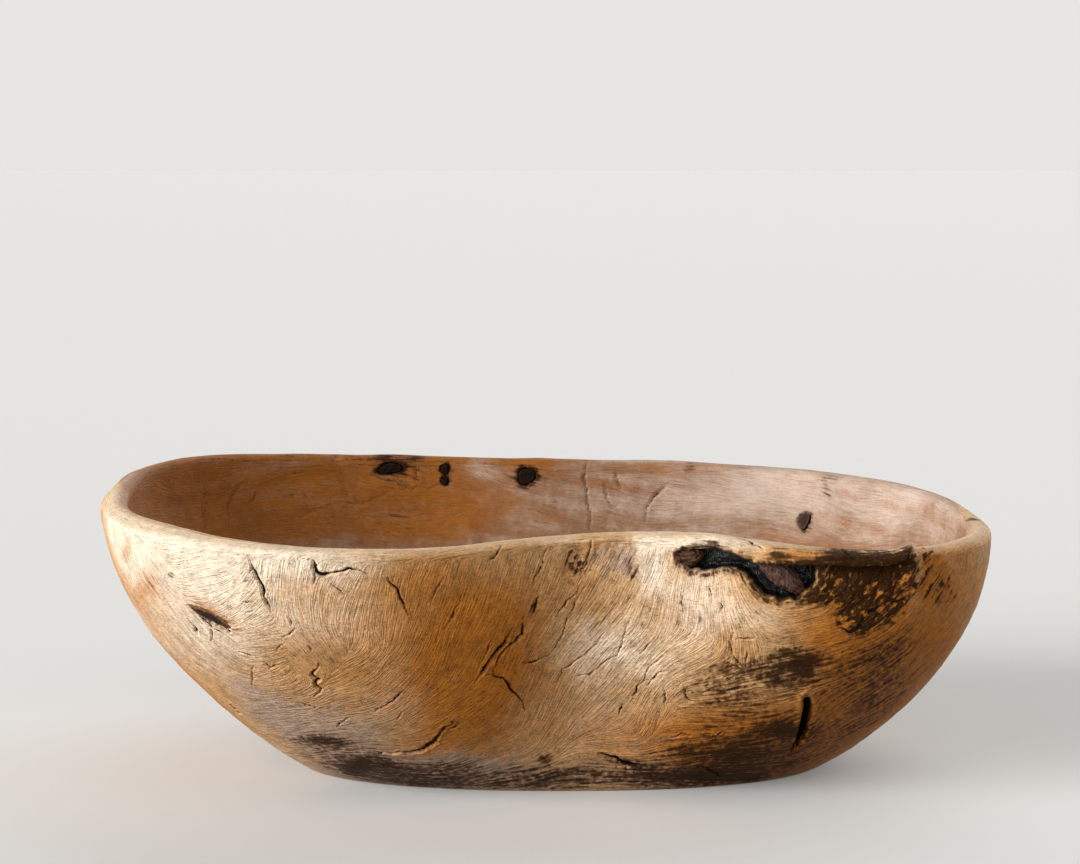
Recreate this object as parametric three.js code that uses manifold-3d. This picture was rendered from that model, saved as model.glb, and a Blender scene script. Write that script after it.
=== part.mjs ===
// Root wood bowl, carved from a single lump of root: kidney-shaped, waisted at the front, with an
// open bark pocket under the front lip. Shreds of bark and dead knots sit loose in their sockets.
// Millimetres. +X runs to the right end, -Y to the waisted front, +Z up.
// A place on the wall is given by its turn, in degrees round the rim from the right end by way of
// the rear, and by its rise, which goes from 0 at the foot to 1 at the shoulder of the rim.

import * as THREE from "three";
import { mergeVertices } from "three/addons/utils/BufferGeometryUtils.js";
import Module from "manifold-3d";

const wasm = await Module();
wasm.setup();

// Rim seen from above
const HALF_LENGTH = 226;
const PLAN_SQUARENESS = 2.65; // exponent of the oval, 2 would be an ellipse
const LEFT_MIDLINE = 23; // the oval's long middle line lies this far back at the left end
const RIGHT_MIDLINE = -19; // and this far forward at the right end
const LEFT_FRONT_WIDTH = 190; // from the middle line to the front, at the left end of the taper
const RIGHT_FRONT_WIDTH = 130;
const LEFT_REAR_WIDTH = 135;
const RIGHT_REAR_WIDTH = 172;
const WAIST_X = 27; // the front is drawn in here
const WAIST_SPREAD = 75;
const WAIST_DEPTH = 40;
const REAR_DENT_X = -3;
const REAR_DENT_SPREAD = 60;
const REAR_DENT_DEPTH = 6;

// Rim seen from the side
const SHOULDER_HEIGHT = 131.5; // where the wall ends and the rounding of the rim begins
const RIM_ROUND = 4; // the crest stands this far above the shoulder
const RISE_TO_LEFT = 0.0243; // slope of the rim along the bowl
const RISE_TO_REAR = 0.02;
const FRONT_SWELL_X = 67; // the front rim swells upwards here
const FRONT_SWELL_SPREAD = 75;
const FRONT_SWELL_HEIGHT = 6;
const REAR_CORNER_X = -213; // and the left rear corner too
const REAR_CORNER_SPREAD = 60;
const REAR_CORNER_HEIGHT = 4;

// Foot, the flat oval that the bowl stands on
const FOOT_X = 10;
const FOOT_Y = -3;
const FOOT_HALF_LENGTH = 134;
const FOOT_HALF_WIDTH = 66;
const FOOT_SQUARENESS = 2.3;

// Wall
const LEFT_FULLNESS = 1.7; // how soon the wall reaches its full width on the way up
const RIGHT_FULLNESS = 1.9;
const FOOT_SHARPNESS = 1.12; // 1 is a plain crease at the foot, more rounds it
const LEFT_RIM_WALL = 9.5;
const RIGHT_RIM_WALL = 13;
const FOOT_WALL = 20; // the wall measured level at the foot
const WALL_TAPER = 1.5;
const FLOOR_EDGE = 26; // height of the inner floor where it runs into the wall
const FLOOR_MIDDLE = 18; // and in its middle, which is also the floor's thickness

// Valley that runs from the waist down to the foot
const VALLEY_HIGH_X = 30;
const VALLEY_LOW_X = -16;
const VALLEY_SPREAD = 26;
const VALLEY_DEPTH = 5;

// Bark pocket under the front lip
const POCKET_LINE = [
  { turn: 293.8, rise: 0.955, halfWidth: 2.2, depth: 3.5 },
  { turn: 295.8, rise: 0.953, halfWidth: 5.0, depth: 8.0 },
  { turn: 298.4, rise: 0.959, halfWidth: 5.0, depth: 8.5 },
  { turn: 302.2, rise: 0.952, halfWidth: 4.0, depth: 8.0 },
  { turn: 304.2, rise: 0.921, halfWidth: 6.0, depth: 9.0 },
  { turn: 306.5, rise: 0.906, halfWidth: 8.0, depth: 9.5 },
  { turn: 309.2, rise: 0.911, halfWidth: 8.0, depth: 9.5 },
  { turn: 311.8, rise: 0.929, halfWidth: 3.0, depth: 4.0 },
];
const POCKET_BACKING = 5; // the wall is left this much thicker behind the pocket
const BACKING_SPREAD = 13; // degrees of turn
const BACKING_REACH = 0.16; // of the rise

// Shallow hollow under the lip, to the right of the pocket
const HOLLOW = { turn: 318.5, rise: 0.945, halfLength: 23, halfWidth: 6.5, depth: 4, tilt: 2 };

// Open slit low on the right lobe
const SLIT_LINE = [
  { turn: 316.2, rise: 0.446, halfWidth: 0.7, depth: 3.0 },
  { turn: 317.5, rise: 0.379, halfWidth: 1.5, depth: 9.0 },
  { turn: 319.0, rise: 0.304, halfWidth: 1.2, depth: 8.0 },
  { turn: 321.0, rise: 0.200, halfWidth: 0.6, depth: 3.0 },
];

// Bark lumps in the pocket: centre below the wall's surface and half sizes
const BARK_RIGHT = {
  turn: 308, rise: 0.914, sunk: 5, halfLength: 12, halfWidth: 5.5, halfDepth: 7, tilt: -38,
};
const BARK_LEFT = { turn: 295, rise: 0.954, sunk: 5, halfLength: 7, halfWidth: 6, halfDepth: 6, tilt: 0 };

// Loose plugs: bark and dead knots that fill blind sockets flush with the wall
const PLUGS = {
  left_seam_bark: {
    side: "outer", turn: 227, rise: 0.743, halfLength: 11, halfWidth: 2.6, depth: 5, tilt: -23,
  },
  rear_knot: { side: "inner", turn: 95.8, rise: 0.957, halfLength: 4.8, halfWidth: 4.2, depth: 6, tilt: 35 },
  rear_bark_streak: {
    side: "inner", turn: 118.3, rise: 0.975, halfLength: 6.5, halfWidth: 2.6, depth: 4.5, tilt: 6,
  },
  rear_pin_knot_upper: {
    side: "inner", turn: 109.1, rise: 0.977, halfLength: 2.5, halfWidth: 2, depth: 4.5, tilt: 80,
  },
  rear_pin_knot_lower: {
    side: "inner", turn: 109.2, rise: 0.929, halfLength: 2.2, halfWidth: 1.6, depth: 4.5, tilt: 90,
  },
  right_wall_knot: { side: "inner", turn: 48, rise: 0.818, halfLength: 4.6, halfWidth: 3, depth: 6, tilt: 75 },
  rim_end_knot: { side: "crest", turn: 358.5, rise: 1, halfLength: 3.4, halfWidth: 3, depth: 7, tilt: 20 },
};
const PLUG_TAPER = 0.75; // width of a plug's inner end as a share of its face
const PLUG_WOBBLE = 0.1; // a plug's outline is this uneven
const PLUG_LOBES = 3;

const CLEARANCE = 0.3; // shrinkage gap round every loose piece
const PROUD = 6; // cutting forms stand this far out of the wall

// Fineness of the surfaces
const COLUMNS = 96;
const WALL_ROWS = 11;
const RIM_ROWS = 5;
const FLOOR_RINGS = 3;
const PLUG_SIDES = 14;
const LOFT_STEPS = 18;
const LOFT_SIDES = 12;
const LUMP_SEGMENTS = 18;
const LUMP_BANDS = 12;
const RIM_SAMPLES = 1440;
const TURN_STEP = 0.25; // degrees, for slopes along the rim
const RISE_STEP = 0.005; // for slopes up the wall
const SAME_POINT = 0.0001; // vertices closer than this are one

const mix = THREE.MathUtils.lerp;
const bell = (value, middle, spread) => Math.exp(-(((value - middle) / spread) ** 2));
const signedPower = (value, power) => Math.sign(value) * Math.abs(value) ** power;

// Share of the way from the left end of the bowl to the right end
const shareAlong = (x) => (x + HALF_LENGTH) / (2 * HALF_LENGTH);

// Shoulder of the rim on its outer side, by the angle of the oval
function rimAtAngle(angle) {
  const across = Math.sin(angle);
  const x = HALF_LENGTH * signedPower(Math.cos(angle), 2 / PLAN_SQUARENESS);
  const share = shareAlong(x);
  const waist = WAIST_DEPTH * bell(x, WAIST_X, WAIST_SPREAD);
  const dent = REAR_DENT_DEPTH * bell(x, REAR_DENT_X, REAR_DENT_SPREAD);
  const frontWidth = mix(LEFT_FRONT_WIDTH, RIGHT_FRONT_WIDTH, share) - waist;
  const rearWidth = mix(LEFT_REAR_WIDTH, RIGHT_REAR_WIDTH, share) - dent;
  const width = across > 0 ? rearWidth : frontWidth;
  const y = mix(LEFT_MIDLINE, RIGHT_MIDLINE, share) + width * signedPower(across, 2 / PLAN_SQUARENESS);
  const swell = FRONT_SWELL_HEIGHT * bell(x, FRONT_SWELL_X, FRONT_SWELL_SPREAD) * Math.max(-across, 0);
  const corner = REAR_CORNER_HEIGHT * bell(x, REAR_CORNER_X, REAR_CORNER_SPREAD) * Math.max(across, 0);
  const z = SHOULDER_HEIGHT - RISE_TO_LEFT * x + RISE_TO_REAR * y + swell + corner;
  return new THREE.Vector3(x, y, z);
}

function footAtAngle(angle) {
  const x = FOOT_X + FOOT_HALF_LENGTH * signedPower(Math.cos(angle), 2 / FOOT_SQUARENESS);
  const y = FOOT_Y + FOOT_HALF_WIDTH * signedPower(Math.sin(angle), 2 / FOOT_SQUARENESS);
  return new THREE.Vector3(x, y, 0);
}

// Distance round the rim, so that equal turns are equal steps along it
const rimDistance = [0];
for (let i = 1; i <= RIM_SAMPLES; i += 1) {
  const before = rimAtAngle(((i - 1) / RIM_SAMPLES) * 2 * Math.PI);
  const here = rimAtAngle((i / RIM_SAMPLES) * 2 * Math.PI);
  rimDistance.push(rimDistance[i - 1] + Math.hypot(here.x - before.x, here.y - before.y));
}

function angleAtTurn(turn) {
  const lap = Math.floor(turn / 360);
  const wanted = (turn / 360 - lap) * rimDistance[RIM_SAMPLES];
  let low = 0;
  let high = RIM_SAMPLES;
  while (high - low > 1) {
    const middle = Math.floor((low + high) / 2);
    if (rimDistance[middle] <= wanted) low = middle;
    else high = middle;
  }
  const part = (wanted - rimDistance[low]) / (rimDistance[high] - rimDistance[low]);
  return ((low + part) / RIM_SAMPLES + lap) * 2 * Math.PI;
}

// Outer wall without the valley
function plainWall(turn, rise) {
  const angle = angleAtTurn(turn);
  const rim = rimAtAngle(angle);
  const foot = footAtAngle(angle);
  const fullness = mix(LEFT_FULLNESS, RIGHT_FULLNESS, shareAlong(rim.x));
  const spread = (1 - (1 - rise) ** fullness) ** (1 / FOOT_SHARPNESS);
  return new THREE.Vector3(mix(foot.x, rim.x, spread), mix(foot.y, rim.y, spread), rim.z * rise);
}

// Level direction from the outside to the inside
function inwardAt(turn, rise) {
  const before = plainWall(turn - TURN_STEP, rise);
  const after = plainWall(turn + TURN_STEP, rise);
  return new THREE.Vector3(before.y - after.y, after.x - before.x, 0).normalize();
}

function wallThickness(turn, rise) {
  const rimWall = mix(LEFT_RIM_WALL, RIGHT_RIM_WALL, shareAlong(rimAtAngle(angleAtTurn(turn)).x));
  const first = POCKET_LINE[0];
  const last = POCKET_LINE[POCKET_LINE.length - 1];
  const middleTurn = (first.turn + last.turn) / 2;
  const middleRise = (first.rise + last.rise) / 2;
  const nearPocket = bell(turn, middleTurn, BACKING_SPREAD) * bell(rise, middleRise, BACKING_REACH);
  return mix(rimWall, FOOT_WALL, (1 - rise) ** WALL_TAPER) + POCKET_BACKING * nearPocket;
}

function outerWall(turn, rise) {
  const point = plainWall(turn, rise);
  const towardsFront = Math.max(-Math.sin(angleAtTurn(turn)), 0);
  const valleyX = mix(VALLEY_LOW_X, VALLEY_HIGH_X, rise);
  const valley = VALLEY_DEPTH * bell(point.x, valleyX, VALLEY_SPREAD) * Math.sin(Math.PI * rise);
  return point.addScaledVector(inwardAt(turn, rise), valley * towardsFront);
}

function innerWall(turn, rise) {
  const point = plainWall(turn, rise).addScaledVector(inwardAt(turn, rise), wallThickness(turn, rise));
  point.z += FLOOR_EDGE * (1 - rise) ** 2;
  return point;
}

// Rounded rim, from its outer shoulder at 0 over the crest to its inner shoulder at 1
function rimRound(turn, over) {
  const across = (wallThickness(turn, 1) * (1 - Math.cos(Math.PI * over))) / 2;
  const point = plainWall(turn, 1).addScaledVector(inwardAt(turn, 1), across);
  point.z += RIM_ROUND * Math.sin(Math.PI * over);
  return point;
}

// Inner floor, a shallow dish from its edge at 1 to its middle at 0
function innerFloor(turn, share) {
  const edge = innerWall(turn, 0);
  const height = mix(FLOOR_MIDDLE, FLOOR_EDGE, share ** 2);
  return new THREE.Vector3(mix(FOOT_X, edge.x, share), mix(FOOT_Y, edge.y, share), height);
}

// Closed body from rings of points that are listed from one end point to the other
function ringsToGeometry(rings, startPoint, endPoint) {
  const count = rings[0].length;
  const positions = [];
  const triangles = [];
  for (const point of [...rings.flat(), startPoint, endPoint]) positions.push(point.x, point.y, point.z);
  const startIndex = rings.length * count;
  const lastRing = (rings.length - 1) * count;
  for (let i = 0; i < count; i += 1) {
    const next = (i + 1) % count;
    triangles.push(startIndex, next, i);
    for (let ring = 0; ring + 1 < rings.length; ring += 1) {
      const here = ring * count;
      const above = here + count;
      triangles.push(here + i, here + next, above + next);
      triangles.push(here + i, above + next, above + i);
    }
    triangles.push(lastRing + i, lastRing + next, startIndex + 1);
  }
  const geometry = new THREE.BufferGeometry();
  geometry.setAttribute("position", new THREE.Float32BufferAttribute(positions, 3));
  geometry.setIndex(triangles);
  return geometry;
}

function bowlGeometry() {
  const turns = Array.from({ length: COLUMNS }, (_, i) => (i / COLUMNS) * 360);
  const rings = [];
  for (let row = 0; row <= WALL_ROWS; row += 1) {
    rings.push(turns.map((turn) => outerWall(turn, row / WALL_ROWS)));
  }
  for (let row = 1; row <= RIM_ROWS; row += 1) {
    rings.push(turns.map((turn) => rimRound(turn, row / (RIM_ROWS + 1))));
  }
  for (let row = WALL_ROWS; row >= 0; row -= 1) {
    rings.push(turns.map((turn) => innerWall(turn, row / WALL_ROWS)));
  }
  for (let ring = FLOOR_RINGS - 1; ring > 0; ring -= 1) {
    rings.push(turns.map((turn) => innerFloor(turn, ring / FLOOR_RINGS)));
  }
  const underside = new THREE.Vector3(FOOT_X, FOOT_Y, 0);
  const floorMiddle = new THREE.Vector3(FOOT_X, FOOT_Y, FLOOR_MIDDLE);
  return ringsToGeometry(rings, underside, floorMiddle);
}

function toSolid(geometry) {
  const plain = geometry.clone();
  plain.deleteAttribute("normal");
  plain.deleteAttribute("uv");
  const merged = mergeVertices(plain, SAME_POINT);
  const vertProperties = new Float32Array(merged.attributes.position.array);
  const triVerts = new Uint32Array(merged.index.array);
  return new wasm.Manifold(new wasm.Mesh({ numProp: 3, vertProperties, triVerts }));
}

function toGeometry(solid) {
  const mesh = solid.getMesh();
  const geometry = new THREE.BufferGeometry();
  geometry.setAttribute("position", new THREE.BufferAttribute(new Float32Array(mesh.vertProperties), 3));
  geometry.setIndex(new THREE.BufferAttribute(new Uint32Array(mesh.triVerts), 1));
  geometry.computeVertexNormals();
  return geometry;
}

// Place on the surface with the directions that a viewer facing it calls right, out and up
function placeOn(side, turn, rise) {
  if (side === "crest") {
    const up = inwardAt(turn, 1);
    const out = new THREE.Vector3(0, 0, 1);
    return { point: rimRound(turn, 0.5), right: up.clone().cross(out), out, up };
  }
  const surface = side === "outer" ? outerWall : innerWall;
  const alongRim = surface(turn + TURN_STEP, rise).sub(surface(turn - TURN_STEP, rise));
  const upWall = surface(turn, rise).sub(surface(turn, rise - RISE_STEP));
  const out = alongRim.cross(upWall).normalize();
  if (side === "inner") out.negate();
  const up = new THREE.Vector3(0, 0, 1);
  up.addScaledVector(out, -up.dot(out)).normalize();
  return { point: surface(turn, rise), right: up.clone().cross(out), out, up };
}

// Moves a form made round the origin, with +X right and +Y out, to a place on the surface
function moveTo(geometry, place, tilt) {
  const angle = THREE.MathUtils.degToRad(tilt);
  const right = place.right.clone().applyAxisAngle(place.out, angle);
  const matrix = new THREE.Matrix4().makeBasis(right, place.out, right.clone().cross(place.out));
  matrix.setPosition(place.point);
  return geometry.applyMatrix4(matrix);
}

// Tapered plug with an uneven oval outline, larger all round by the growth
function plugSolid(plug, growth) {
  const height = plug.depth + growth + PROUD;
  const geometry = new THREE.CylinderGeometry(1, PLUG_TAPER, height, PLUG_SIDES);
  const position = geometry.attributes.position;
  for (let i = 0; i < position.count; i += 1) {
    const x = position.getX(i);
    const z = position.getZ(i);
    const uneven = 1 + PLUG_WOBBLE * Math.sin(PLUG_LOBES * Math.atan2(z, x));
    position.setX(i, x * uneven * (plug.halfLength + growth));
    position.setZ(i, z * uneven * (plug.halfWidth + growth));
  }
  geometry.translate(0, PROUD - height / 2, 0);
  return toSolid(moveTo(geometry, placeOn(plug.side, plug.turn, plug.rise), plug.tilt));
}

// Ellipsoid on the outer wall
function lumpSolid(lump, sunk, halfDepth) {
  const geometry = new THREE.SphereGeometry(1, LUMP_SEGMENTS, LUMP_BANDS);
  geometry.scale(lump.halfLength, halfDepth, lump.halfWidth);
  geometry.translate(0, -sunk, 0);
  return toSolid(moveTo(geometry, placeOn("outer", lump.turn, lump.rise), lump.tilt));
}

function middleOf(ring) {
  const sum = new THREE.Vector3();
  for (const point of ring) sum.add(point);
  return sum.divideScalar(ring.length);
}

// Channel along a line on the outer wall: an oval section that changes from station to station,
// smaller all round by the gap
function channelSolid(line, gap) {
  const path = new THREE.CatmullRomCurve3(line.map((at) => new THREE.Vector3(at.turn, at.rise, 0)));
  const sizes = new THREE.CatmullRomCurve3(line.map((at) => new THREE.Vector3(at.halfWidth, at.depth, 0)));
  const places = [];
  for (let step = 0; step <= LOFT_STEPS; step += 1) {
    const at = path.getPoint(step / LOFT_STEPS);
    places.push(placeOn("outer", at.x, at.y));
  }
  const rings = places.map((place, step) => {
    const before = places[Math.max(step - 1, 0)].point;
    const after = places[Math.min(step + 1, LOFT_STEPS)].point;
    const along = after.clone().sub(before).normalize();
    const across = place.out.clone().cross(along).normalize();
    const size = sizes.getPoint(step / LOFT_STEPS);
    const ring = [];
    for (let i = 0; i < LOFT_SIDES; i += 1) {
      const angle = (i / LOFT_SIDES) * 2 * Math.PI;
      const height = Math.sin(angle) > 0 ? PROUD : size.y - gap;
      const point = place.point.clone();
      point.addScaledVector(across, Math.cos(angle) * (size.x - gap));
      point.addScaledVector(place.out, Math.sin(angle) * height);
      ring.push(point);
    }
    return ring;
  });
  return toSolid(ringsToGeometry(rings, middleOf(rings[0]), middleOf(rings[LOFT_STEPS])));
}

const uncutBowl = toSolid(bowlGeometry());
let bowl = uncutBowl;
bowl = bowl.subtract(channelSolid(POCKET_LINE, 0));
bowl = bowl.subtract(lumpSolid(HOLLOW, 0, HOLLOW.depth));
bowl = bowl.subtract(channelSolid(SLIT_LINE, 0));

const insidePocket = channelSolid(POCKET_LINE, CLEARANCE);
const solids = {
  pocket_bark_right: lumpSolid(BARK_RIGHT, BARK_RIGHT.sunk, BARK_RIGHT.halfDepth).intersect(insidePocket),
  pocket_bark_left: lumpSolid(BARK_LEFT, BARK_LEFT.sunk, BARK_LEFT.halfDepth).intersect(insidePocket),
};
for (const [name, plug] of Object.entries(PLUGS)) {
  solids[name] = uncutBowl.intersect(plugSolid(plug, 0));
  bowl = bowl.subtract(plugSolid(plug, CLEARANCE));
}
solids.bowl_body = bowl;

const finishes = {
  bowl_body: { color: 0xb58550, roughness: 0.62 },
  pocket_bark_right: { color: 0x4a3025, roughness: 0.7 },
  pocket_bark_left: { color: 0x57402e, roughness: 0.75 },
  left_seam_bark: { color: 0x3f2b20, roughness: 0.8 },
  rear_knot: { color: 0x241a15, roughness: 0.55 },
  rear_bark_streak: { color: 0x2c2019, roughness: 0.7 },
  rear_pin_knot_upper: { color: 0x221814, roughness: 0.6 },
  rear_pin_knot_lower: { color: 0x221814, roughness: 0.6 },
  right_wall_knot: { color: 0x3a2a22, roughness: 0.6 },
  rim_end_knot: { color: 0x6f6156, roughness: 0.7 },
};

const rootWoodBowl = new THREE.Group();
for (const [name, finish] of Object.entries(finishes)) {
  const mesh = new THREE.Mesh(
    toGeometry(solids[name]),
    new THREE.MeshStandardMaterial({ ...finish, metalness: 0 }),
  );
  mesh.name = name;
  rootWoodBowl.add(mesh);
}

// The origin is under the middle of the bowl, on the surface that it stands on
const outside = new THREE.Box3().setFromObject(rootWoodBowl);
const middle = outside.getCenter(new THREE.Vector3());
rootWoodBowl.position.set(-middle.x, -middle.y, -outside.min.z);

export default rootWoodBowl;
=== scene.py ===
"""Root wood bowl: the looks of the carved bowl, its bark and its dead knots, round the CAD frame.

Sizes are in millimetres and turned into metres where a mesh is made. A place on the wall has a turn,
in degrees round the rim from the right end by way of the rear, and a rise from the foot to the shoulder.
Marks that the picture shows are given in its pixels, and are carried to the wall through the camera.
"""
import math

import bpy
import numpy as np
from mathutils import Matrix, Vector


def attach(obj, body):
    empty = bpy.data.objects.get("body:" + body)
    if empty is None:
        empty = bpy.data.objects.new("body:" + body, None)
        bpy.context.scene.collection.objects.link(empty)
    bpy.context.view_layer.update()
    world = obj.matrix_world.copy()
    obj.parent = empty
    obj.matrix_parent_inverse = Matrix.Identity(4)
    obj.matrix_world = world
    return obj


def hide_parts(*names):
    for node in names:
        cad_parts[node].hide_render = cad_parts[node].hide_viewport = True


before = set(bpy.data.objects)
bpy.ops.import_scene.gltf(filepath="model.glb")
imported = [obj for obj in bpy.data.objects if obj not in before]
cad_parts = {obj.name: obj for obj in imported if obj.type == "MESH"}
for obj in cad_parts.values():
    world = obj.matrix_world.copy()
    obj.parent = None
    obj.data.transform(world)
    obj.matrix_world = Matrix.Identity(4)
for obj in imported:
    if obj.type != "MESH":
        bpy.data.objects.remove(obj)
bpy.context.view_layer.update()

MM = 0.001
SEED = 11

# Camera, fitted to the picture
PICTURE_WIDTH, PICTURE_HEIGHT = 1080, 864
SENSOR, LENS = 36.0, 80.0
CAMERA_AT = np.array([-1.0, -1231.0, 318.0])
CAMERA_PITCH = math.radians(6.8)
FOCAL_PIXELS = LENS / SENSOR * PICTURE_WIDTH
FRONT_SCALE = 2.13  # pixels per millimetre on the front of the bowl
REAR_SCALE = 1.75  # and on the inside of the rear wall

# Rim seen from above
HALF_LENGTH = 226.0
PLAN_SQUARENESS = 2.65
LEFT_MIDLINE, RIGHT_MIDLINE = 23.0, -19.0
LEFT_FRONT_WIDTH, RIGHT_FRONT_WIDTH = 190.0, 130.0
LEFT_REAR_WIDTH, RIGHT_REAR_WIDTH = 135.0, 172.0
WAIST_X, WAIST_SPREAD, WAIST_DEPTH = 27.0, 75.0, 40.0
REAR_DENT_X, REAR_DENT_SPREAD, REAR_DENT_DEPTH = -3.0, 60.0, 6.0

# Rim seen from the side
SHOULDER_HEIGHT = 131.5
RIM_ROUND = 4.0
RISE_TO_LEFT, RISE_TO_REAR = 0.0243, 0.02
FRONT_SWELL_X, FRONT_SWELL_SPREAD, FRONT_SWELL_HEIGHT = 67.0, 75.0, 6.0
REAR_CORNER_X, REAR_CORNER_SPREAD, REAR_CORNER_HEIGHT = -213.0, 60.0, 4.0

# Foot and wall
FOOT_X, FOOT_Y = 10.0, -3.0
FOOT_HALF_LENGTH, FOOT_HALF_WIDTH, FOOT_SQUARENESS = 134.0, 66.0, 2.3
LEFT_FULLNESS, RIGHT_FULLNESS, FOOT_SHARPNESS = 1.7, 1.9, 1.12
LEFT_RIM_WALL, RIGHT_RIM_WALL, FOOT_WALL, WALL_TAPER = 9.5, 13.0, 20.0, 1.5
FLOOR_EDGE, FLOOR_MIDDLE = 26.0, 18.0
VALLEY_HIGH_X, VALLEY_LOW_X, VALLEY_SPREAD, VALLEY_DEPTH = 30.0, -16.0, 26.0, 5.0
BACKING, BACKING_TURN, BACKING_SPREAD = 5.0, 302.8, 13.0
BACKING_RISE, BACKING_REACH = 0.942, 0.16

# Spacing of the wood's surface points
LEFT_FRONT_TURN = 245.0
FRONT_FROM, FRONT_TO = 190.0, 350.0
FRONT_SPACING, REAR_SPACING = 0.55, 1.05
ROW_SPACING, INNER_ROW_SPACING, FLOOR_SPACING = 0.55, 0.95, 2.5


def mix(a, b, share):
    return a + (b - a) * share


def bell(value, middle, spread):
    return np.exp(-((value - middle) / spread) ** 2)


def step(low, high, value):
    share = np.clip((value - low) / (high - low), 0, 1)
    return share * share * (3 - 2 * share)


def signed_power(value, power):
    return np.sign(value) * np.abs(value) ** power


def share_along(x):
    return (x + HALF_LENGTH) / (2 * HALF_LENGTH)


def running_sum(values):
    return np.concatenate([[0], np.cumsum(values)])


# The carved form

def rim_at_angle(angle):
    along, across = np.cos(angle), np.sin(angle)
    x = HALF_LENGTH * signed_power(along, 2 / PLAN_SQUARENESS)
    share = share_along(x)
    front = mix(LEFT_FRONT_WIDTH, RIGHT_FRONT_WIDTH, share) - WAIST_DEPTH * bell(x, WAIST_X, WAIST_SPREAD)
    dent = REAR_DENT_DEPTH * bell(x, REAR_DENT_X, REAR_DENT_SPREAD)
    rear = mix(LEFT_REAR_WIDTH, RIGHT_REAR_WIDTH, share) - dent
    width = np.where(across > 0, rear, front)
    y = mix(LEFT_MIDLINE, RIGHT_MIDLINE, share) + width * signed_power(across, 2 / PLAN_SQUARENESS)
    swell = FRONT_SWELL_HEIGHT * bell(x, FRONT_SWELL_X, FRONT_SWELL_SPREAD) * np.maximum(-across, 0)
    corner = REAR_CORNER_HEIGHT * bell(x, REAR_CORNER_X, REAR_CORNER_SPREAD) * np.maximum(across, 0)
    z = SHOULDER_HEIGHT - RISE_TO_LEFT * x + RISE_TO_REAR * y + swell + corner
    return x, y, z


RIM_ANGLES = np.linspace(0, 2 * np.pi, 1441)
RIM_X, RIM_Y, _ = rim_at_angle(RIM_ANGLES)
RIM_DISTANCE = running_sum(np.hypot(np.diff(RIM_X), np.diff(RIM_Y)))
RIM_LENGTH = RIM_DISTANCE[-1]


def angle_at(turn):
    lap = np.floor(turn / 360)
    return np.interp((turn / 360 - lap) * RIM_LENGTH, RIM_DISTANCE, RIM_ANGLES) + 2 * np.pi * lap


def plain_wall(turn, rise):
    angle = angle_at(turn)
    x, y, z = rim_at_angle(angle)
    foot_x = FOOT_X + FOOT_HALF_LENGTH * signed_power(np.cos(angle), 2 / FOOT_SQUARENESS)
    foot_y = FOOT_Y + FOOT_HALF_WIDTH * signed_power(np.sin(angle), 2 / FOOT_SQUARENESS)
    fullness = mix(LEFT_FULLNESS, RIGHT_FULLNESS, share_along(x))
    spread = (1 - (1 - rise) ** fullness) ** (1 / FOOT_SHARPNESS)
    return np.stack([mix(foot_x, x, spread), mix(foot_y, y, spread), z * rise], -1)


def inward_at(turn, rise):
    along = plain_wall(turn + 0.25, rise) - plain_wall(turn - 0.25, rise)
    inward = np.stack([-along[..., 1], along[..., 0], 0 * along[..., 0]], -1)
    return inward / np.linalg.norm(inward, axis=-1, keepdims=True)


def wall_thickness(turn, rise):
    rim_wall = mix(LEFT_RIM_WALL, RIGHT_RIM_WALL, share_along(rim_at_angle(angle_at(turn))[0]))
    near_pocket = bell(turn % 360, BACKING_TURN, BACKING_SPREAD) * bell(rise, BACKING_RISE, BACKING_REACH)
    return mix(rim_wall, FOOT_WALL, (1 - rise) ** WALL_TAPER) + BACKING * near_pocket


def outer_wall(turn, rise):
    point = plain_wall(turn, rise)
    to_front = np.maximum(-np.sin(angle_at(turn)), 0)
    valley = VALLEY_DEPTH * bell(point[..., 0], mix(VALLEY_LOW_X, VALLEY_HIGH_X, rise), VALLEY_SPREAD)
    return point + inward_at(turn, rise) * (valley * np.sin(np.pi * rise) * to_front)[..., None]


def inner_wall(turn, rise):
    point = plain_wall(turn, rise) + inward_at(turn, rise) * wall_thickness(turn, rise)[..., None]
    point[..., 2] += FLOOR_EDGE * (1 - rise) ** 2
    return point


def rim_round(turn, over):
    top = np.ones_like(turn)
    across = wall_thickness(turn, top) * (1 - np.cos(np.pi * over)) / 2
    point = plain_wall(turn, top) + inward_at(turn, top) * across[..., None]
    point[..., 2] += RIM_ROUND * np.sin(np.pi * over)
    return point


def toward_middle(point, share):
    """A point of the foot's edge, moved level toward the middle of the foot."""
    point[..., 0] = mix(FOOT_X, point[..., 0], share)
    point[..., 1] = mix(FOOT_Y, point[..., 1], share)
    return point


def inner_floor(turn, share):
    point = toward_middle(inner_wall(turn, np.zeros_like(turn)), share)
    point[..., 2] = mix(FLOOR_MIDDLE, FLOOR_EDGE, share ** 2)
    return point


def underside(turn, share):
    return toward_middle(plain_wall(turn, np.zeros_like(turn)), share)


# The sheet of surface points: rows from the underside over the rim to the inner floor

def even_rows(surface, first, last, spacing):
    """Values from first to last that lie evenly spaced on the surface at the left front."""
    values = np.linspace(first, last, 801)
    points = surface(np.full_like(values, LEFT_FRONT_TURN), values)
    distance = running_sum(np.linalg.norm(np.diff(points, axis=0), axis=1))
    count = max(int(distance[-1] / spacing), 2)
    return np.interp(np.linspace(0, distance[-1], count + 1), distance, values)


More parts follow.
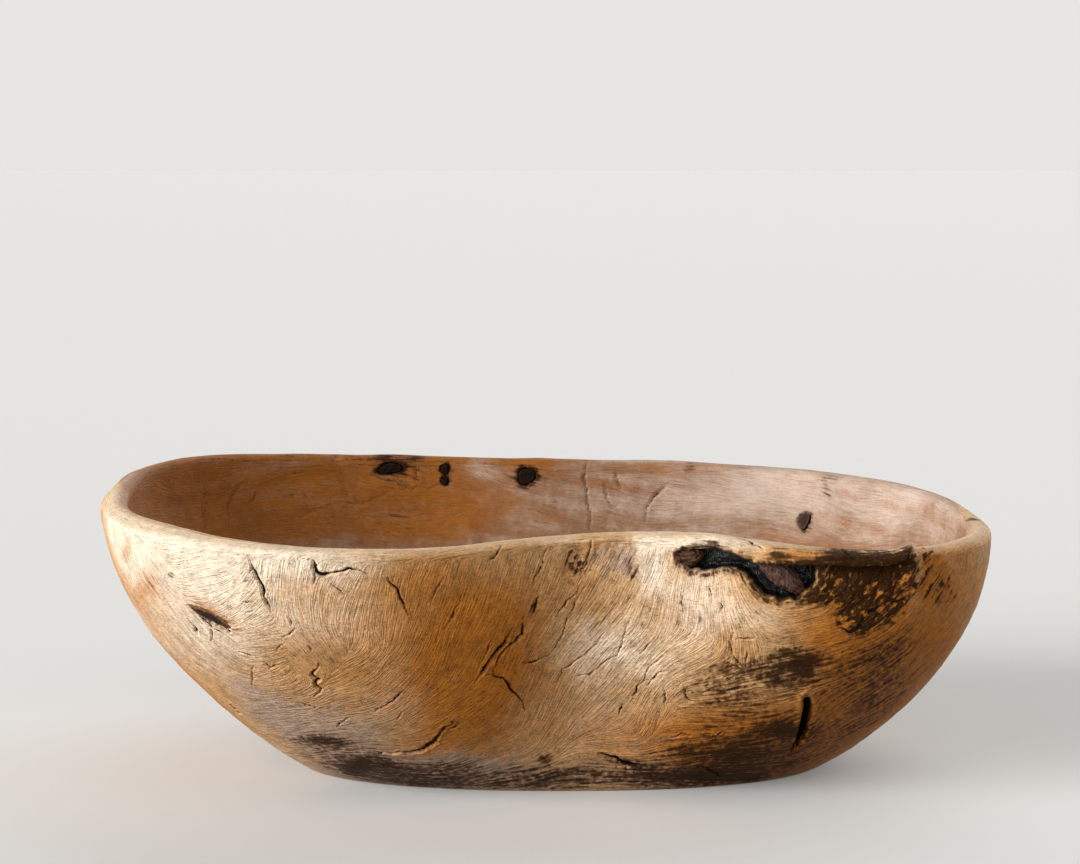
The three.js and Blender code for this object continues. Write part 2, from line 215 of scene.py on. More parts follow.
def column_turns():
    """Turns of the columns, closer together on the front."""
    fine = np.linspace(0, 360, 3601)
    in_front = step(FRONT_FROM - 10, FRONT_FROM, fine) * (1 - step(FRONT_TO, FRONT_TO + 10, fine))
    per_degree = RIM_LENGTH / 360 / mix(REAR_SPACING, FRONT_SPACING, in_front)
    count = running_sum((per_degree[1:] + per_degree[:-1]) / 2 * fine[1])
    return np.interp(np.linspace(0, count[-1], int(count[-1]) + 1)[:-1], count, fine)


BANDS = [
    ("under", underside, even_rows(underside, 0.03, 1.0, FLOOR_SPACING)[:-1]),
    ("outer", outer_wall, even_rows(outer_wall, 0.0, 1.0, ROW_SPACING)),
    ("rim", rim_round, even_rows(rim_round, 0.0, 1.0, ROW_SPACING)[1:-1]),
    ("inner", inner_wall, even_rows(inner_wall, 1.0, 0.0, INNER_ROW_SPACING)),
    ("floor", inner_floor, even_rows(inner_floor, 1.0, 0.03, FLOOR_SPACING)[1:]),
]
turns = column_turns()
band_of_row = np.concatenate([[name] * len(values) for name, _, values in BANDS])
value_of_row = np.concatenate([values for _, _, values in BANDS])
base = np.concatenate([surface(*np.meshgrid(turns, values)) for _, surface, values in BANDS])
ROWS, COLUMNS = base.shape[:2]


def every_column(row_values):
    return np.broadcast_to(np.asarray(row_values)[:, None], (ROWS, COLUMNS))


is_outer = every_column(np.isin(band_of_row, ["under", "outer"]))
is_inner = every_column(np.isin(band_of_row, ["inner", "floor"]))
is_rim = every_column(band_of_row == "rim")
over_rim = np.where(is_rim, every_column(value_of_row), is_inner)
is_wall = every_column(np.isin(band_of_row, ["outer", "inner"]))
rise_grid = np.where(is_wall, every_column(value_of_row), is_rim)
turn_grid = np.broadcast_to(turns[None, :], (ROWS, COLUMNS))


def along_columns(values):
    return np.roll(values, -1, axis=1) - np.roll(values, 1, axis=1)


def unit_vectors(vectors):
    return vectors / np.maximum(np.linalg.norm(vectors, axis=-1, keepdims=True), 1e-9)


turn_way = unit_vectors(along_columns(base))
row_way = unit_vectors(np.gradient(base, axis=0))
normal = unit_vectors(np.cross(turn_way, row_way))
column_gap = np.linalg.norm(along_columns(base), axis=-1) / 2
row_gap = np.linalg.norm(np.gradient(base, axis=0), axis=-1)


# Places in the picture, and where the marks of the front, of the inside and of the rear rim end
FRONT_MARKS_TO, INSIDE_MARKS_FROM = 60.0, -40.0
REAR_RIM_FROM, REAR_RIM_FULL = -20.0, 60.0


def to_picture(points):
    """Pixel column and pixel row of points."""
    away = points - CAMERA_AT
    forward = np.array([0.0, math.cos(CAMERA_PITCH), -math.sin(CAMERA_PITCH)])
    upward = np.array([0.0, math.sin(CAMERA_PITCH), math.cos(CAMERA_PITCH)])
    depth = away @ forward
    column = PICTURE_WIDTH / 2 + FOCAL_PIXELS * away[..., 0] / depth
    row = PICTURE_HEIGHT / 2 - FOCAL_PIXELS * (away @ upward) / depth
    return column, row


column_px, row_px = to_picture(base)
sight = unit_vectors(CAMERA_AT - base)
in_view = step(0.0, 0.3, (normal * sight).sum(-1))
front = np.where(is_inner, 0.0, in_view * (1 - step(0.45, 0.95, over_rim)) * (base[..., 1] < FRONT_MARKS_TO))
rear_rim = step(REAR_RIM_FROM, REAR_RIM_FULL, base[..., 1])
past_crest = step(mix(0.45, 0.05, rear_rim), mix(0.9, 0.25, rear_rim), over_rim)
inside = np.where(is_outer, 0.0, in_view * past_crest * (base[..., 1] > INSIDE_MARKS_FROM))


# Noise

def lattice(i, j, k, seed):
    mixed_bits = (i * 374761393 + j * 668265263 + k * 1442695041 + seed * 974634777) & 0xFFFFFFFF
    mixed_bits = ((mixed_bits ^ (mixed_bits >> 13)) * 1274126177) & 0xFFFFFFFF
    return (mixed_bits ^ (mixed_bits >> 16)) / 0xFFFFFFFF * 2 - 1


def noise(points, size, seed):
    """Smooth noise from -1 to 1 whose lumps are about that size."""
    scaled = points / size
    cell = np.floor(scaled).astype(np.int64)
    part = scaled - cell
    part = part * part * (3 - 2 * part)
    total = 0
    for di in (0, 1):
        for dj in (0, 1):
            for dk in (0, 1):
                weight = part[..., 0] if di else 1 - part[..., 0]
                weight = weight * (part[..., 1] if dj else 1 - part[..., 1])
                weight = weight * (part[..., 2] if dk else 1 - part[..., 2])
                corner = lattice(cell[..., 0] + di, cell[..., 1] + dj, cell[..., 2] + dk, seed)
                total = total + weight * corner
    return total


def rough_noise(points, size, seed, octaves=3):
    total, weight, strength = 0, 0, 1.0
    for octave in range(octaves):
        total = total + strength * noise(points, size / 2 ** octave, seed + octave)
        weight += strength
        strength *= 0.5
    return total / weight * 1.6


def blurred(values, reach):
    """Box blur, twice, by that many rows and columns, round the bowl and held at the two ends."""
    width = 2 * reach + 1
    for _ in range(2):
        padded = np.concatenate([values[:, -reach:], values, values[:, :reach]], 1).cumsum(1)
        padded = np.concatenate([np.zeros((len(values), 1)), padded], 1)
        values = (padded[:, width:] - padded[:, :-width]) / width
        padded = np.concatenate([values[:1].repeat(reach, 0), values, values[-1:].repeat(reach, 0)]).cumsum(0)
        padded = np.concatenate([np.zeros((1, values.shape[1])), padded])
        values = (padded[width:] - padded[:-width]) / width
    return values


# Direction of the grain on the front, in degrees from level to the right, at pixels of the picture
GRAIN = [
    (120, 540, 105), (150, 590, 115), (195, 565, 8), (245, 603, 28), (280, 578, 72), (300, 560, 80),
    (297, 607, 88), (265, 640, 5), (340, 585, 70), (672, 698, 90), (694, 676, 10), (696, 716, 175),
    (738, 650, 100), (390, 605, 74), (425, 580, 63), (190, 645, 132), (217, 652, 115), (272, 677, 30),
    (300, 655, 110), (250, 690, 150), (280, 715, 10), (350, 705, 28), (400, 690, 48), (450, 640, 58),
    (480, 590, 63), (540, 565, 64), (600, 600, 62), (560, 640, 52), (600, 685, 52), (640, 665, 50),
    (655, 600, 76), (690, 590, 95), (725, 612, 105), (765, 615, 150), (660, 690, 80), (700, 660, 40),
    (700, 722, 8), (745, 690, 8), (800, 625, 25), (800, 675, 12), (850, 640, 28), (900, 640, 40),
    (930, 600, 62), (965, 560, 78), (900, 700, 43), (818, 720, 74), (850, 740, 36), (400, 780, 2),
    (600, 780, 0), (750, 785, 4), (540, 725, 62), (470, 735, 40), (930, 570, 50), (870, 590, 65),
    (520, 770, 12),
]
GRAIN_REACH = 28.0
DRIFT_SIZE = 70.0  # millimetres over which the grain drifts where no direction is given
SWIRL, SWIRL_SIZE = 13.0, 30.0  # degrees, and millimetres
DRIFT_WEIGHT, RIM_WEIGHT = 0.03, 1.5  # of the drifting grain, and of the grain along the rim

lumpy = rough_noise(base * [1, 1, 1.6], DRIFT_SIZE, SEED)
swirl = SWIRL * rough_noise(base, SWIRL_SIZE, SEED + 5)
loose_angle = np.where(is_inner, 8 + 22 * lumpy, mix(4, 76, rise_grid) + 48 * lumpy)
double_x = DRIFT_WEIGHT * np.cos(2 * np.radians(loose_angle + swirl))
double_y = DRIFT_WEIGHT * np.sin(2 * np.radians(loose_angle + swirl))
for x, y, degrees in GRAIN:
    near = np.exp(-((column_px - x) ** 2 + (row_px - y) ** 2) / GRAIN_REACH ** 2) * front
    double_x += near * np.cos(2 * np.radians(degrees + swirl))
    double_y += near * np.sin(2 * np.radians(degrees + swirl))
double_x += RIM_WEIGHT * np.where(is_rim, 1.0, step(0.975, 1.0, rise_grid))
grain_angle = np.arctan2(double_y, double_x) / 2
up_sign = np.where(over_rim > 0.5, -1.0, 1.0)
grain_way = turn_way * np.cos(grain_angle)[..., None] + row_way * (up_sign * np.sin(grain_angle))[..., None]

# On the two floors the grain runs along the bowl instead of round its middle
is_flat = every_column(np.isin(band_of_row, ["under", "floor"]))
from_middle = np.where(is_flat, every_column(value_of_row), 1.0)
level_way = np.stack([np.cos(0.2 + 0.4 * lumpy), np.sin(0.2 + 0.4 * lumpy), 0 * lumpy], -1)
level_way = level_way * np.where((level_way * grain_way).sum(-1, keepdims=True) < 0, -1, 1)
level_share = np.where(is_flat, 1.0, is_inner * step(0.25, 0.0, rise_grid))
grain_way = unit_vectors(mix(grain_way, level_way, level_share[..., None]))


def fibres(source, reach, stride):
    """Source noise smeared along the grain by that reach each way."""
    along, up = np.cos(grain_angle).astype(np.float32), np.sin(grain_angle).astype(np.float32)
    column_step = (stride / np.maximum(column_gap, 0.2)).astype(np.float32)
    row_step = (stride / np.maximum(row_gap, 0.2) * up_sign).astype(np.float32)
    source = source.astype(np.float32)
    total = source.copy()
    all_rows, all_columns = np.indices((ROWS, COLUMNS), np.float32)
    for sign in (1, -1):
        row, column = all_rows.copy(), all_columns.copy()
        going_x, going_y = sign * along, sign * up
        row_at, column_at = all_rows.astype(np.int32), all_columns.astype(np.int32)
        for _ in range(int(reach / stride)):
            here_x, here_y = along[row_at, column_at], up[row_at, column_at]
            flip = np.where(here_x * going_x + here_y * going_y < 0, -1, 1)
            going_x, going_y = here_x * flip, here_y * flip
            column += going_x * column_step[row_at, column_at]
            row += going_y * row_step[row_at, column_at]
            row_at = np.clip(np.rint(row), 0, ROWS - 1).astype(np.int32)
            column_at = np.rint(column).astype(np.int32) % COLUMNS
            total += source[row_at, column_at]
    return (total - total.mean()) / total.std()


random = np.random.default_rng(SEED)
coarse_fibre = fibres(blurred(random.standard_normal((ROWS, COLUMNS)), 1), 6.0, 0.6)
BROAD_BLUR = max(int(2.4 / ROW_SPACING), 1)
broad_fibre = fibres(blurred(random.standard_normal((ROWS, COLUMNS)), BROAD_BLUR), 18.0, 1.6)


# Ways to place a mark by pixels of the picture

warped_column = column_px + 9 * rough_noise(base, 20.0, SEED + 20)
warped_row = row_px + 6 * rough_noise(base, 20.0, SEED + 30)
jitter_column = column_px + 1.9 * rough_noise(base, 4.0, SEED + 40)
jitter_row = row_px + 1.9 * rough_noise(base, 4.0, SEED + 45)


def blob(x, y, half_width, half_height, tilt=0.0):
    """Soft oval mark, with its tilt in degrees to the left of level."""
    turned = math.radians(tilt)
    bend = min(1.0, half_width / 16, half_height / 16)
    right = mix(column_px, warped_column, bend) - x
    up = y - mix(row_px, warped_row, bend)
    u = (right * math.cos(turned) + up * math.sin(turned)) / half_width
    v = (up * math.cos(turned) - right * math.sin(turned)) / half_height
    return np.exp(-(u * u + v * v))


def line_distance(x, y, line):
    """Distance in pixels to a line of points, and the share of the line at the nearest place."""
    best = np.full(x.shape, 1e9)
    place = np.zeros(x.shape)
    lengths = [math.dist(a, b) for a, b in zip(line, line[1:])]
    done = 0.0
    for (ax, ay), (bx, by), length in zip(line, line[1:], lengths):
        share = np.clip(((x - ax) * (bx - ax) + (y - ay) * (by - ay)) / max(length, 1e-6) ** 2, 0, 1)
        distance = np.hypot(x - ax - share * (bx - ax), y - ay - share * (by - ay))
        nearer = distance < best
        best = np.where(nearer, distance, best)
        place = np.where(nearer, (done + share * length) / sum(lengths), place)
        done += length
    return best, place


def inside_distance(x, y, outline):
    """Distance in pixels to a closed outline, positive inside it."""
    best, _ = line_distance(x, y, outline + outline[:1])
    within = np.zeros(x.shape, bool)
    for (ax, ay), (bx, by) in zip(outline, outline[1:] + outline[:1]):
        crosses = (ay > y) != (by > y)
        within ^= crosses & (x < (bx - ax) * (y - ay) / (by - ay + 1e-12) + ax)
    return np.where(within, best, -best)


def ground(outline, low, high, rags=0.0):
    """Mask of an outline with a wavy edge, from 0 to 1 between those distances inside it in pixels."""
    return step(low, high, inside_distance(warped_column, warped_row, outline) + rags)


# Cracks and gouges: half width and depth in millimetres, and the line in pixels
FRONT_CRACKS = [
    (1.2, 3.5, [(246, 556), (251, 566), (257, 577), (263, 591), (268, 604), (272, 613)]),
    (1.8, 3.0, [(314, 562), (315, 569), (318, 573), (324, 574), (332, 573)]),
    (0.9, 2.2, [(318, 573), (333, 573), (345, 570), (357, 570), (367, 574)]),
    (0.6, 1.6, [(316, 572), (315, 578), (313, 584)]),
    (1.1, 3.0, [(386, 578), (397, 590), (401, 600), (409, 615)]),
    (1.1, 2.5, [(186, 619), (193, 627), (199, 635)]),
    (0.9, 2.5, [(187, 605), (201, 611), (214, 617), (231, 631)]),
    (0.8, 1.8, [(202, 620), (212, 627), (211, 641)]),
    (0.7, 1.6, [(214, 628), (226, 634)]),
    (1.0, 3.0, [(318, 665), (312, 677), (319, 681), (314, 684), (320, 692), (314, 696)]),
    (0.7, 1.8, [(348, 718), (342, 722), (337, 726)]),
    (1.3, 3.0, [(513, 628), (505, 643), (495, 655), (486, 669), (476, 683)]),
    (1.0, 2.5, [(523, 618), (522, 635), (510, 645), (498, 658), (494, 676)]),
    (0.9, 2.5, [(486, 676), (505, 679), (513, 690), (525, 709)]),
    (0.8, 1.6, [(523, 662), (533, 664), (545, 658)]),
    (1.2, 3.0, [(454, 722), (440, 734), (436, 742), (422, 750), (402, 753), (380, 754)]),
    (0.8, 2.0, [(452, 721), (456, 727), (450, 730)]),
    (1.7, 3.0, [(599, 753), (615, 760), (628, 765), (643, 769)]),
    (1.1, 2.2, [(538, 597), (536, 604), (532, 614)]),
    (0.8, 1.6, [(690, 768), (706, 770), (722, 777)]),
    (0.6, 1.4, [(738, 538), (750, 543), (764, 550)]),
    (0.8, 1.8, [(843, 551), (848, 558)]),
    (1.2, 2.0, [(905, 600), (885, 605), (868, 614), (852, 632)]),
    (0.8, 1.5, [(838, 628), (852, 632), (858, 628)]),
    (0.9, 1.8, [(230, 704), (236, 710), (242, 715)]),
    (0.7, 1.2, [(591, 540), (590, 552), (586, 566), (577, 577)]),
]
INSIDE_CRACKS = [
    (0.5, 1.0, [(300, 517), (330, 505), (370, 502), (392, 492)]),
    (0.6, 1.4, [(372, 475), (390, 478), (405, 487), (413, 489), (446, 486)]),
    (0.5, 1.0, [(417, 466), (418, 482)]),
    (0.6, 1.6, [(588, 459), (585, 475), (586, 487), (590, 505), (590, 530)]),
    (1.4, 1.5, [(667, 484), (655, 496), (648, 506), (645, 520)]),
    (1.2, 1.3, [(616, 470), (617, 481), (623, 488)]),
    (1.2, 1.3, [(604, 484), (608, 500), (620, 512)]),
    (0.8, 0.7, [(632, 488), (646, 490)]),
    (1.5, 1.2, [(204, 484), (203, 505), (204, 530)]),
    (1.7, 1.3, [(250, 479), (238, 486), (230, 502), (227, 528)]),
    (0.9, 1.6, [(257, 492), (250, 504)]),
    (0.6, 0.9, [(304, 488), (309, 500)]),
    (0.5, 0.9, [(856, 482), (856, 502)]),
]
CRACK_WIDTH, BOLD_CRACK = 0.54, 2.0
THINNEST_CRACK = {"front": 0.34, "inside": 0.65}
CRACK_SHADE = {"front": 1.0, "inside": 0.56}
CRACK_MARGIN = 14  # pixels round its line that a crack can reach
CRACK_CUT, CRACK_LIP = 0.8, 0.08  # shares of the depth that are cut in, and raised beside the cut
BLACK_CRACK = 1.5  # depth from which a crack is painted fully dark, as the shade in it

# Fine open lines of the grain on the front, in pixels
FINE_LINES = [
    [(443, 577), (430, 602)], [(465, 593), (455, 612), (445, 630)], [(490, 635), (490, 648), (480, 665)],
    [(585, 587), (567, 617), (563, 633), (557, 648), (545, 660)], [(580, 587), (563, 608), (557, 617)],
    [(547, 548), (541, 565), (534, 585)], [(502, 545), (490, 562)], [(598, 623), (590, 630)],
    [(603, 638), (585, 655), (563, 670), (557, 683)], [(630, 622), (617, 655), (590, 675), (577, 678)],
    [(640, 687), (633, 697)], [(652, 642), (641, 653)], [(663, 657), (649, 669), (633, 697)],
    [(665, 671), (655, 677), (647, 686)], [(623, 705), (617, 717)], [(681, 593), (683, 611)],
    [(709, 587), (712, 597)], [(720, 603), (722, 611)], [(733, 633), (729, 639), (731, 655), (743, 667)],
    [(735, 640), (753, 637)], [(747, 653), (746, 661)], [(683, 687), (685, 699), (693, 703)],
    [(703, 693), (723, 692), (743, 687)], [(665, 689), (664, 706)], [(671, 739), (681, 735), (691, 736)],
    [(713, 737), (723, 733)], [(402, 694), (390, 703), (376, 711)], [(306, 706), (317, 710)],
    [(401, 712), (398, 720)], [(442, 772), (430, 773)], [(297, 630), (283, 639)], [(281, 645), (277, 652)],
    [(237, 653), (245, 654), (252, 657)], [(263, 663), (270, 667), (278, 666)], [(253, 668), (252, 685)],
    [(289, 615), (292, 626)], [(238, 596), (241, 592)], [(243, 603), (249, 600)], [(246, 612), (254, 610)],
    [(243, 583), (247, 578)], [(249, 575), (252, 570)], [(309, 647), (311, 652)], [(332, 584), (344, 596)],
]
FINE_WIDTH, FINE_DEPTH = 0.6, 1.2
FRONT_CRACKS += [(FINE_WIDTH, FINE_DEPTH, line) for line in FINE_LINES]

# Open pocket under the lip, as an outline
POCKET = [
    (677, 553), (682, 549), (700, 548), (716, 549), (730, 553), (742, 557), (753, 563), (770, 566),
    (800, 566), (817, 566), (817, 582), (811, 591), (797, 601), (778, 601), (762, 595), (753, 587),
    (747, 577), (736, 571), (722, 569), (710, 571), (700, 573), (689, 570), (680, 562),
]
POCKET_DEPTH = 9.0
POCKET_WALL = 2.6  # pixels over which the pocket reaches its depth

# Open slit low on the right lobe
SLIT = [(807, 700), (808, 706), (806, 718), (803, 731), (799, 741), (791, 753)]
SLIT_HALF_WIDTH = 4.2  # pixels, at the widest
SLIT_DEPTH = 8.0
SLIT_EDGE_FROM, SLIT_EDGE_FULL = 790, 802  # pixel columns where its raised edge begins
SLIT_EDGE_HEIGHT = 0.9

# Lower edge of the lip that rolls over the pocket and over the hollow to its right
LIP_EDGE = [
    (670, 551), (684, 547), (716, 547), (740, 555), (756, 563), (790, 565), (820, 565), (850, 567),
    (885, 567), (903, 562), (912, 552),
]
LIP_BULGE, LIP_HEIGHT = 2.6, 13.0
HOLLOW_DEPTH, HOLLOW_HEIGHT = 4.2, 13.0
LIP_FROM, LIP_FULL, LIP_FADES, LIP_TO = 672, 690, 904, 914  # pixel columns
HOLLOW_FROM, HOLLOW_FULL, HOLLOW_FADES, HOLLOW_TO = 816, 838, 898, 914
FOLD_HEIGHT, FOLD_SPREAD = 1.8, 4.0
FOLD = [(899, 541), (909, 545), (913, 556), (911, 572), (906, 588)]

# Grounds with an outline: the dark burl by the lip, the torn patch right of it, the scar on the waist
# and the shallow recess inside the rear wall
BURL = [
    (822, 572), (850, 560), (880, 560), (908, 556), (912, 575), (908, 596), (900, 610), (882, 622),
    (858, 634), (846, 620), (834, 606), (818, 598),
]
TORN = [(914, 548), (945, 552), (949, 575), (947, 600), (932, 604), (918, 590)]
SCAR = [
    (568, 546), (590, 541), (622, 540), (640, 546), (641, 565), (636, 584), (622, 578), (602, 566),
    (586, 571), (570, 574),
]
RECESS = [(372, 458), (440, 455), (449, 470), (446, 487), (412, 489), (404, 486), (390, 478), (372, 475)]

# Loose plugs: side, turn, rise, half length, half width, tilt
PLUGS = {
    "left_seam_bark": ("outer", 227.0, 0.743, 11.0, 2.6, -23.0),
    "rear_knot": ("inner", 95.8, 0.957, 4.8, 4.2, 35.0),
    "rear_bark_streak": ("inner", 118.3, 0.975, 6.5, 2.6, 6.0),
    "rear_pin_knot_upper": ("inner", 109.1, 0.977, 2.5, 2.0, 80.0),
    "rear_pin_knot_lower": ("inner", 109.2, 0.929, 2.2, 1.6, 90.0),
    "right_wall_knot": ("inner", 48.0, 0.818, 4.6, 3.0, 75.0),
    "rim_end_knot": ("crest", 358.5, 0.5, 3.4, 3.0, 20.0),
}
PLUG_WOBBLE, PLUG_LOBES = 0.1, 3
SMUDGE = 1.05
FAINT_SMUDGE = {"right_wall_knot": 0.6, "rim_end_knot": 0.4, "left_seam_bark": 0.55}
CLEARANCE = 0.3
SOCKET_DEPTH = 4.0

# Ridge beside the scar, notch in the rear rim, the stretch of it painted rusty and darker partly as shade,
# and the small burl on the waist, in pixels
SCAR_RIDGE_X, SCAR_RIDGE_SPREAD, SCAR_RIDGE_FULL, SCAR_RIDGE_END = 644, 7.0, 560, 598
NOTCH_X, NOTCH_Y, NOTCH_HALF_WIDTH, NOTCH_HALF_HEIGHT = 337, 455, 4.0, 5.0
RUSTY_SHADED_RIM_FULL, RUSTY_SHADED_RIM_END = 480, 620
WAIST_BURL = (578, 559, 12, 15)

# Relief in millimetres
BROAD_LUMPS, SMALL_LUMPS, RIPPLES = 0.9, 0.45, 0.16
BROAD_LUMP_SIZE, SMALL_LUMP_SIZE, RIPPLE_SIZE, TANGLE_SIZE = 85.0, 34.0, 7.0, 4.5
TOOL_MARK_LENGTH, TOOL_MARK_HEIGHT, TOOL_MARK_DEPTH = 26.0, 17.0, 1.1
COARSE_FIBRE_RELIEF, BROAD_FIBRE_RELIEF = 0.035, 0.07
SCAR_DEPTH, SCAR_RIDGE, RECESS_DEPTH, NOTCH_DEPTH = 0.9, 1.3, 0.7, 1.6

# The rim is broader inside the left front
BROAD_RIM, BROAD_RIM_TURN, BROAD_RIM_SPREAD = 4.5, 205.0, 32.0


def surface_of(side):
    return {"outer": outer_wall, "inner": inner_wall, "crest": rim_round}[side]


def place_on(side, turn, rise):
    """Point on the wall with the directions right, up and out of a viewer who faces it."""
    surface = surface_of(side)
    here = np.array([turn]), np.array([rise])
    along = (surface(here[0] + 0.25, here[1]) - surface(here[0] - 0.25, here[1]))[0]
    climb = (surface(here[0], here[1] + 0.002) - surface(here[0], here[1] - 0.002))[0]
    out = unit_vectors(np.cross(along, climb)) * (-1 if side == "inner" else 1)
    up = inward_at(*here)[0] if side == "crest" else np.array([0.0, 0.0, 1.0])
    up = unit_vectors(up - out * (up @ out))
    return surface(*here)[0], np.cross(up, out), up, out


def tilted_axes(side, turn, rise, tilt):
    """Point on the wall with the long axis, the short axis and the way out of something tilted there."""
    point, right, up, out = place_on(side, turn, rise)
    turned = math.radians(tilt)
    long_axis = right * math.cos(turned) + up * math.sin(turned)
    return point, long_axis, np.cross(out, long_axis), out


def plug_outline(around):
    return 1 - PLUG_WOBBLE * np.sin(PLUG_LOBES * around)


# Shape of the wood: how far each point stands out of the carved form

height = BROAD_LUMPS * rough_noise(base, BROAD_LUMP_SIZE, SEED + 50)
height += SMALL_LUMPS * rough_noise(base, SMALL_LUMP_SIZE, SEED + 55)
along_rim = turn_grid * RIM_LENGTH / 360
tool = np.stack([along_rim / TOOL_MARK_LENGTH, base[..., 2] / TOOL_MARK_HEIGHT, 0 * turn_grid], -1)
scallop = np.abs(noise(tool, 1.0, SEED + 60)) + 0.5 * np.abs(noise(tool * 1.7, 1.0, SEED + 61))
scooped = height - TOOL_MARK_DEPTH * scallop * (1 - step(0.86, 1.0, rise_grid))
height = np.where(is_inner, scooped, height)
rim_smooth = np.where(is_rim, 1.0, step(0.93, 1.0, rise_grid))
relief = np.where(is_inner, 0.3, 1.0) * mix(0.4, 1.0, step(0.0, 0.8, lumpy + 0.7)) * (1 - 0.9 * rim_smooth)
low_wall = step(0.30, 0.02, rise_grid) * is_outer
fibre_relief = COARSE_FIBRE_RELIEF * coarse_fibre + BROAD_FIBRE_RELIEF * broad_fibre
height += relief * (1 + low_wall) * fibre_relief
height += relief * RIPPLES * rough_noise(base, RIPPLE_SIZE, SEED + 57)

broad_rim = np.where(is_inner, step(0.70, 1.0, rise_grid), step(0.3, 0.9, over_rim))
broad_rim = broad_rim * bell(turn_grid, BROAD_RIM_TURN, BROAD_RIM_SPREAD)
height += BROAD_RIM * broad_rim * (is_inner | is_rim)

crack = np.zeros((ROWS, COLUMNS))
cracks = [("front", *crack_line) for crack_line in FRONT_CRACKS]
cracks += [("inside", *crack_line) for crack_line in INSIDE_CRACKS]
for side, half_width, depth, line in cracks:
    weight, scale = (front, FRONT_SCALE) if side == "front" else (inside, REAR_SCALE)
    xs, ys = zip(*line)
    near = (weight > 0) & (column_px > min(xs) - CRACK_MARGIN) & (column_px < max(xs) + CRACK_MARGIN)
    near &= (row_px > min(ys) - CRACK_MARGIN) & (row_px < max(ys) + CRACK_MARGIN)
    distance, place = line_distance(jitter_column[near], jitter_row[near], line)
    thin = np.sin(np.pi * mix(0.12, 0.88, place)) ** 0.7
    width = np.maximum(CRACK_WIDTH * half_width * thin, THINNEST_CRACK[side])
    distance = distance / scale / width
    whole = depth > BOLD_CRACK or side == "inside"
    unbroken = 1.0 if whole else step(-0.9, -0.4, noise(base[near], 4.0, SEED + 48))
    cut = np.exp(-distance ** 2) * thin * unbroken * weight[near]
    raised = CRACK_LIP * depth * bell(distance, 2.2, 0.9) * weight[near]
    height[near] += raised - CRACK_CUT * depth * cut
    crack[near] = np.maximum(crack[near], cut * CRACK_SHADE[side] * min(1.0, depth / BLACK_CRACK))

pocket_inside = np.where(front > 0, inside_distance(jitter_column, jitter_row, POCKET), -99.0)
pocket = step(-0.8, POCKET_WALL, pocket_inside) * front
slit_distance, slit_place = line_distance(column_px, row_px, SLIT)
slit_distance = slit_distance / (SLIT_HALF_WIDTH * np.sin(np.pi * mix(0.30, 0.97, slit_place)) ** 0.8 + 0.1)
slit = step(1.25, 0.45, slit_distance) * front
slit_edge = bell(slit_distance, 2.0, 0.8) * front * step(SLIT_EDGE_FROM, SLIT_EDGE_FULL, column_px)
height += SLIT_EDGE_HEIGHT * slit_edge

lip_row = np.interp(column_px, [p[0] for p in LIP_EDGE], [p[1] for p in LIP_EDGE])
lip_row = lip_row + 1.2 * noise(base, 7.0, SEED + 66)
over_lip = step(2.0, -2.0, row_px - lip_row)
along_lip = step(LIP_FROM, LIP_FULL, column_px) * step(LIP_TO, LIP_FADES, column_px) * front
lip = LIP_BULGE * over_lip * np.exp(-(np.maximum(lip_row - row_px, 0) / LIP_HEIGHT) ** 2)
hollow_room = step(HOLLOW_FROM, HOLLOW_FULL, column_px) * step(HOLLOW_TO, HOLLOW_FADES, column_px)
under_lip = (1 - over_lip) * np.exp(-np.maximum(row_px - lip_row, 0) / HOLLOW_HEIGHT) * hollow_room * front
height = height + along_lip * lip - HOLLOW_DEPTH * under_lip

tangle = rough_noise(base, TANGLE_SIZE, SEED + 70)
burl = ground(BURL, -8.0, 9.0, 5.0 * tangle) * front
torn = ground(TORN, -5.0, 6.0, 4.0 * tangle) * front
height += burl * (0.9 * tangle + 0.2 * coarse_fibre - 0.4)
height += torn * (0.5 * tangle + 0.2 * coarse_fibre)
fold = np.exp(-(line_distance(column_px, row_px, FOLD)[0] / FOLD_SPREAD) ** 2) * in_view * (1 - is_inner)
height += FOLD_HEIGHT * fold

scar = ground(SCAR, -5.0, 5.0) * front
height += scar * (0.5 * rough_noise(base * [1, 1, 0.4], 3.0, SEED + 80) - SCAR_DEPTH)
scar_ridge = bell(column_px, SCAR_RIDGE_X, SCAR_RIDGE_SPREAD) * front * (1 - rim_smooth)
scar_ridge = scar_ridge * step(SCAR_RIDGE_END, SCAR_RIDGE_FULL, row_px)
height += SCAR_RIDGE * scar_ridge
recess = ground(RECESS, -3.0, 4.0) * inside
height -= RECESS_DEPTH * recess
rim_notch = bell(column_px, NOTCH_X, NOTCH_HALF_WIDTH) * bell(row_px, NOTCH_Y, NOTCH_HALF_HEIGHT)
height -= NOTCH_DEPTH * rim_notch * in_view * (base[..., 1] > 0)

socket = np.zeros((ROWS, COLUMNS))
smudge = np.zeros((ROWS, COLUMNS))
for name, (side, turn, rise, half_length, half_width, tilt) in PLUGS.items():
    point, long_axis, short_axis, out = tilted_axes(side, turn, rise, tilt)
    offset = base - point
    near = (np.linalg.norm(offset, axis=-1) < half_length * 2.2) & ((normal @ out) > 0.5)
    u = offset[near] @ long_axis / (half_length + CLEARANCE)
    v = offset[near] @ short_axis / (half_width + CLEARANCE)
    reach = np.hypot(u, v) / plug_outline(np.arctan2(v, u))
    socket[near] = np.maximum(socket[near], step(1.10, 0.98, reach))
    faded = bell(np.maximum(reach, 1.05), 1.05, 0.42) * FAINT_SMUDGE.get(name, SMUDGE)
    faded = faded * mix(0.45, 1.3, step(-0.6, 0.6, tangle[near]))
    smudge[near] = np.maximum(smudge[near], faded)

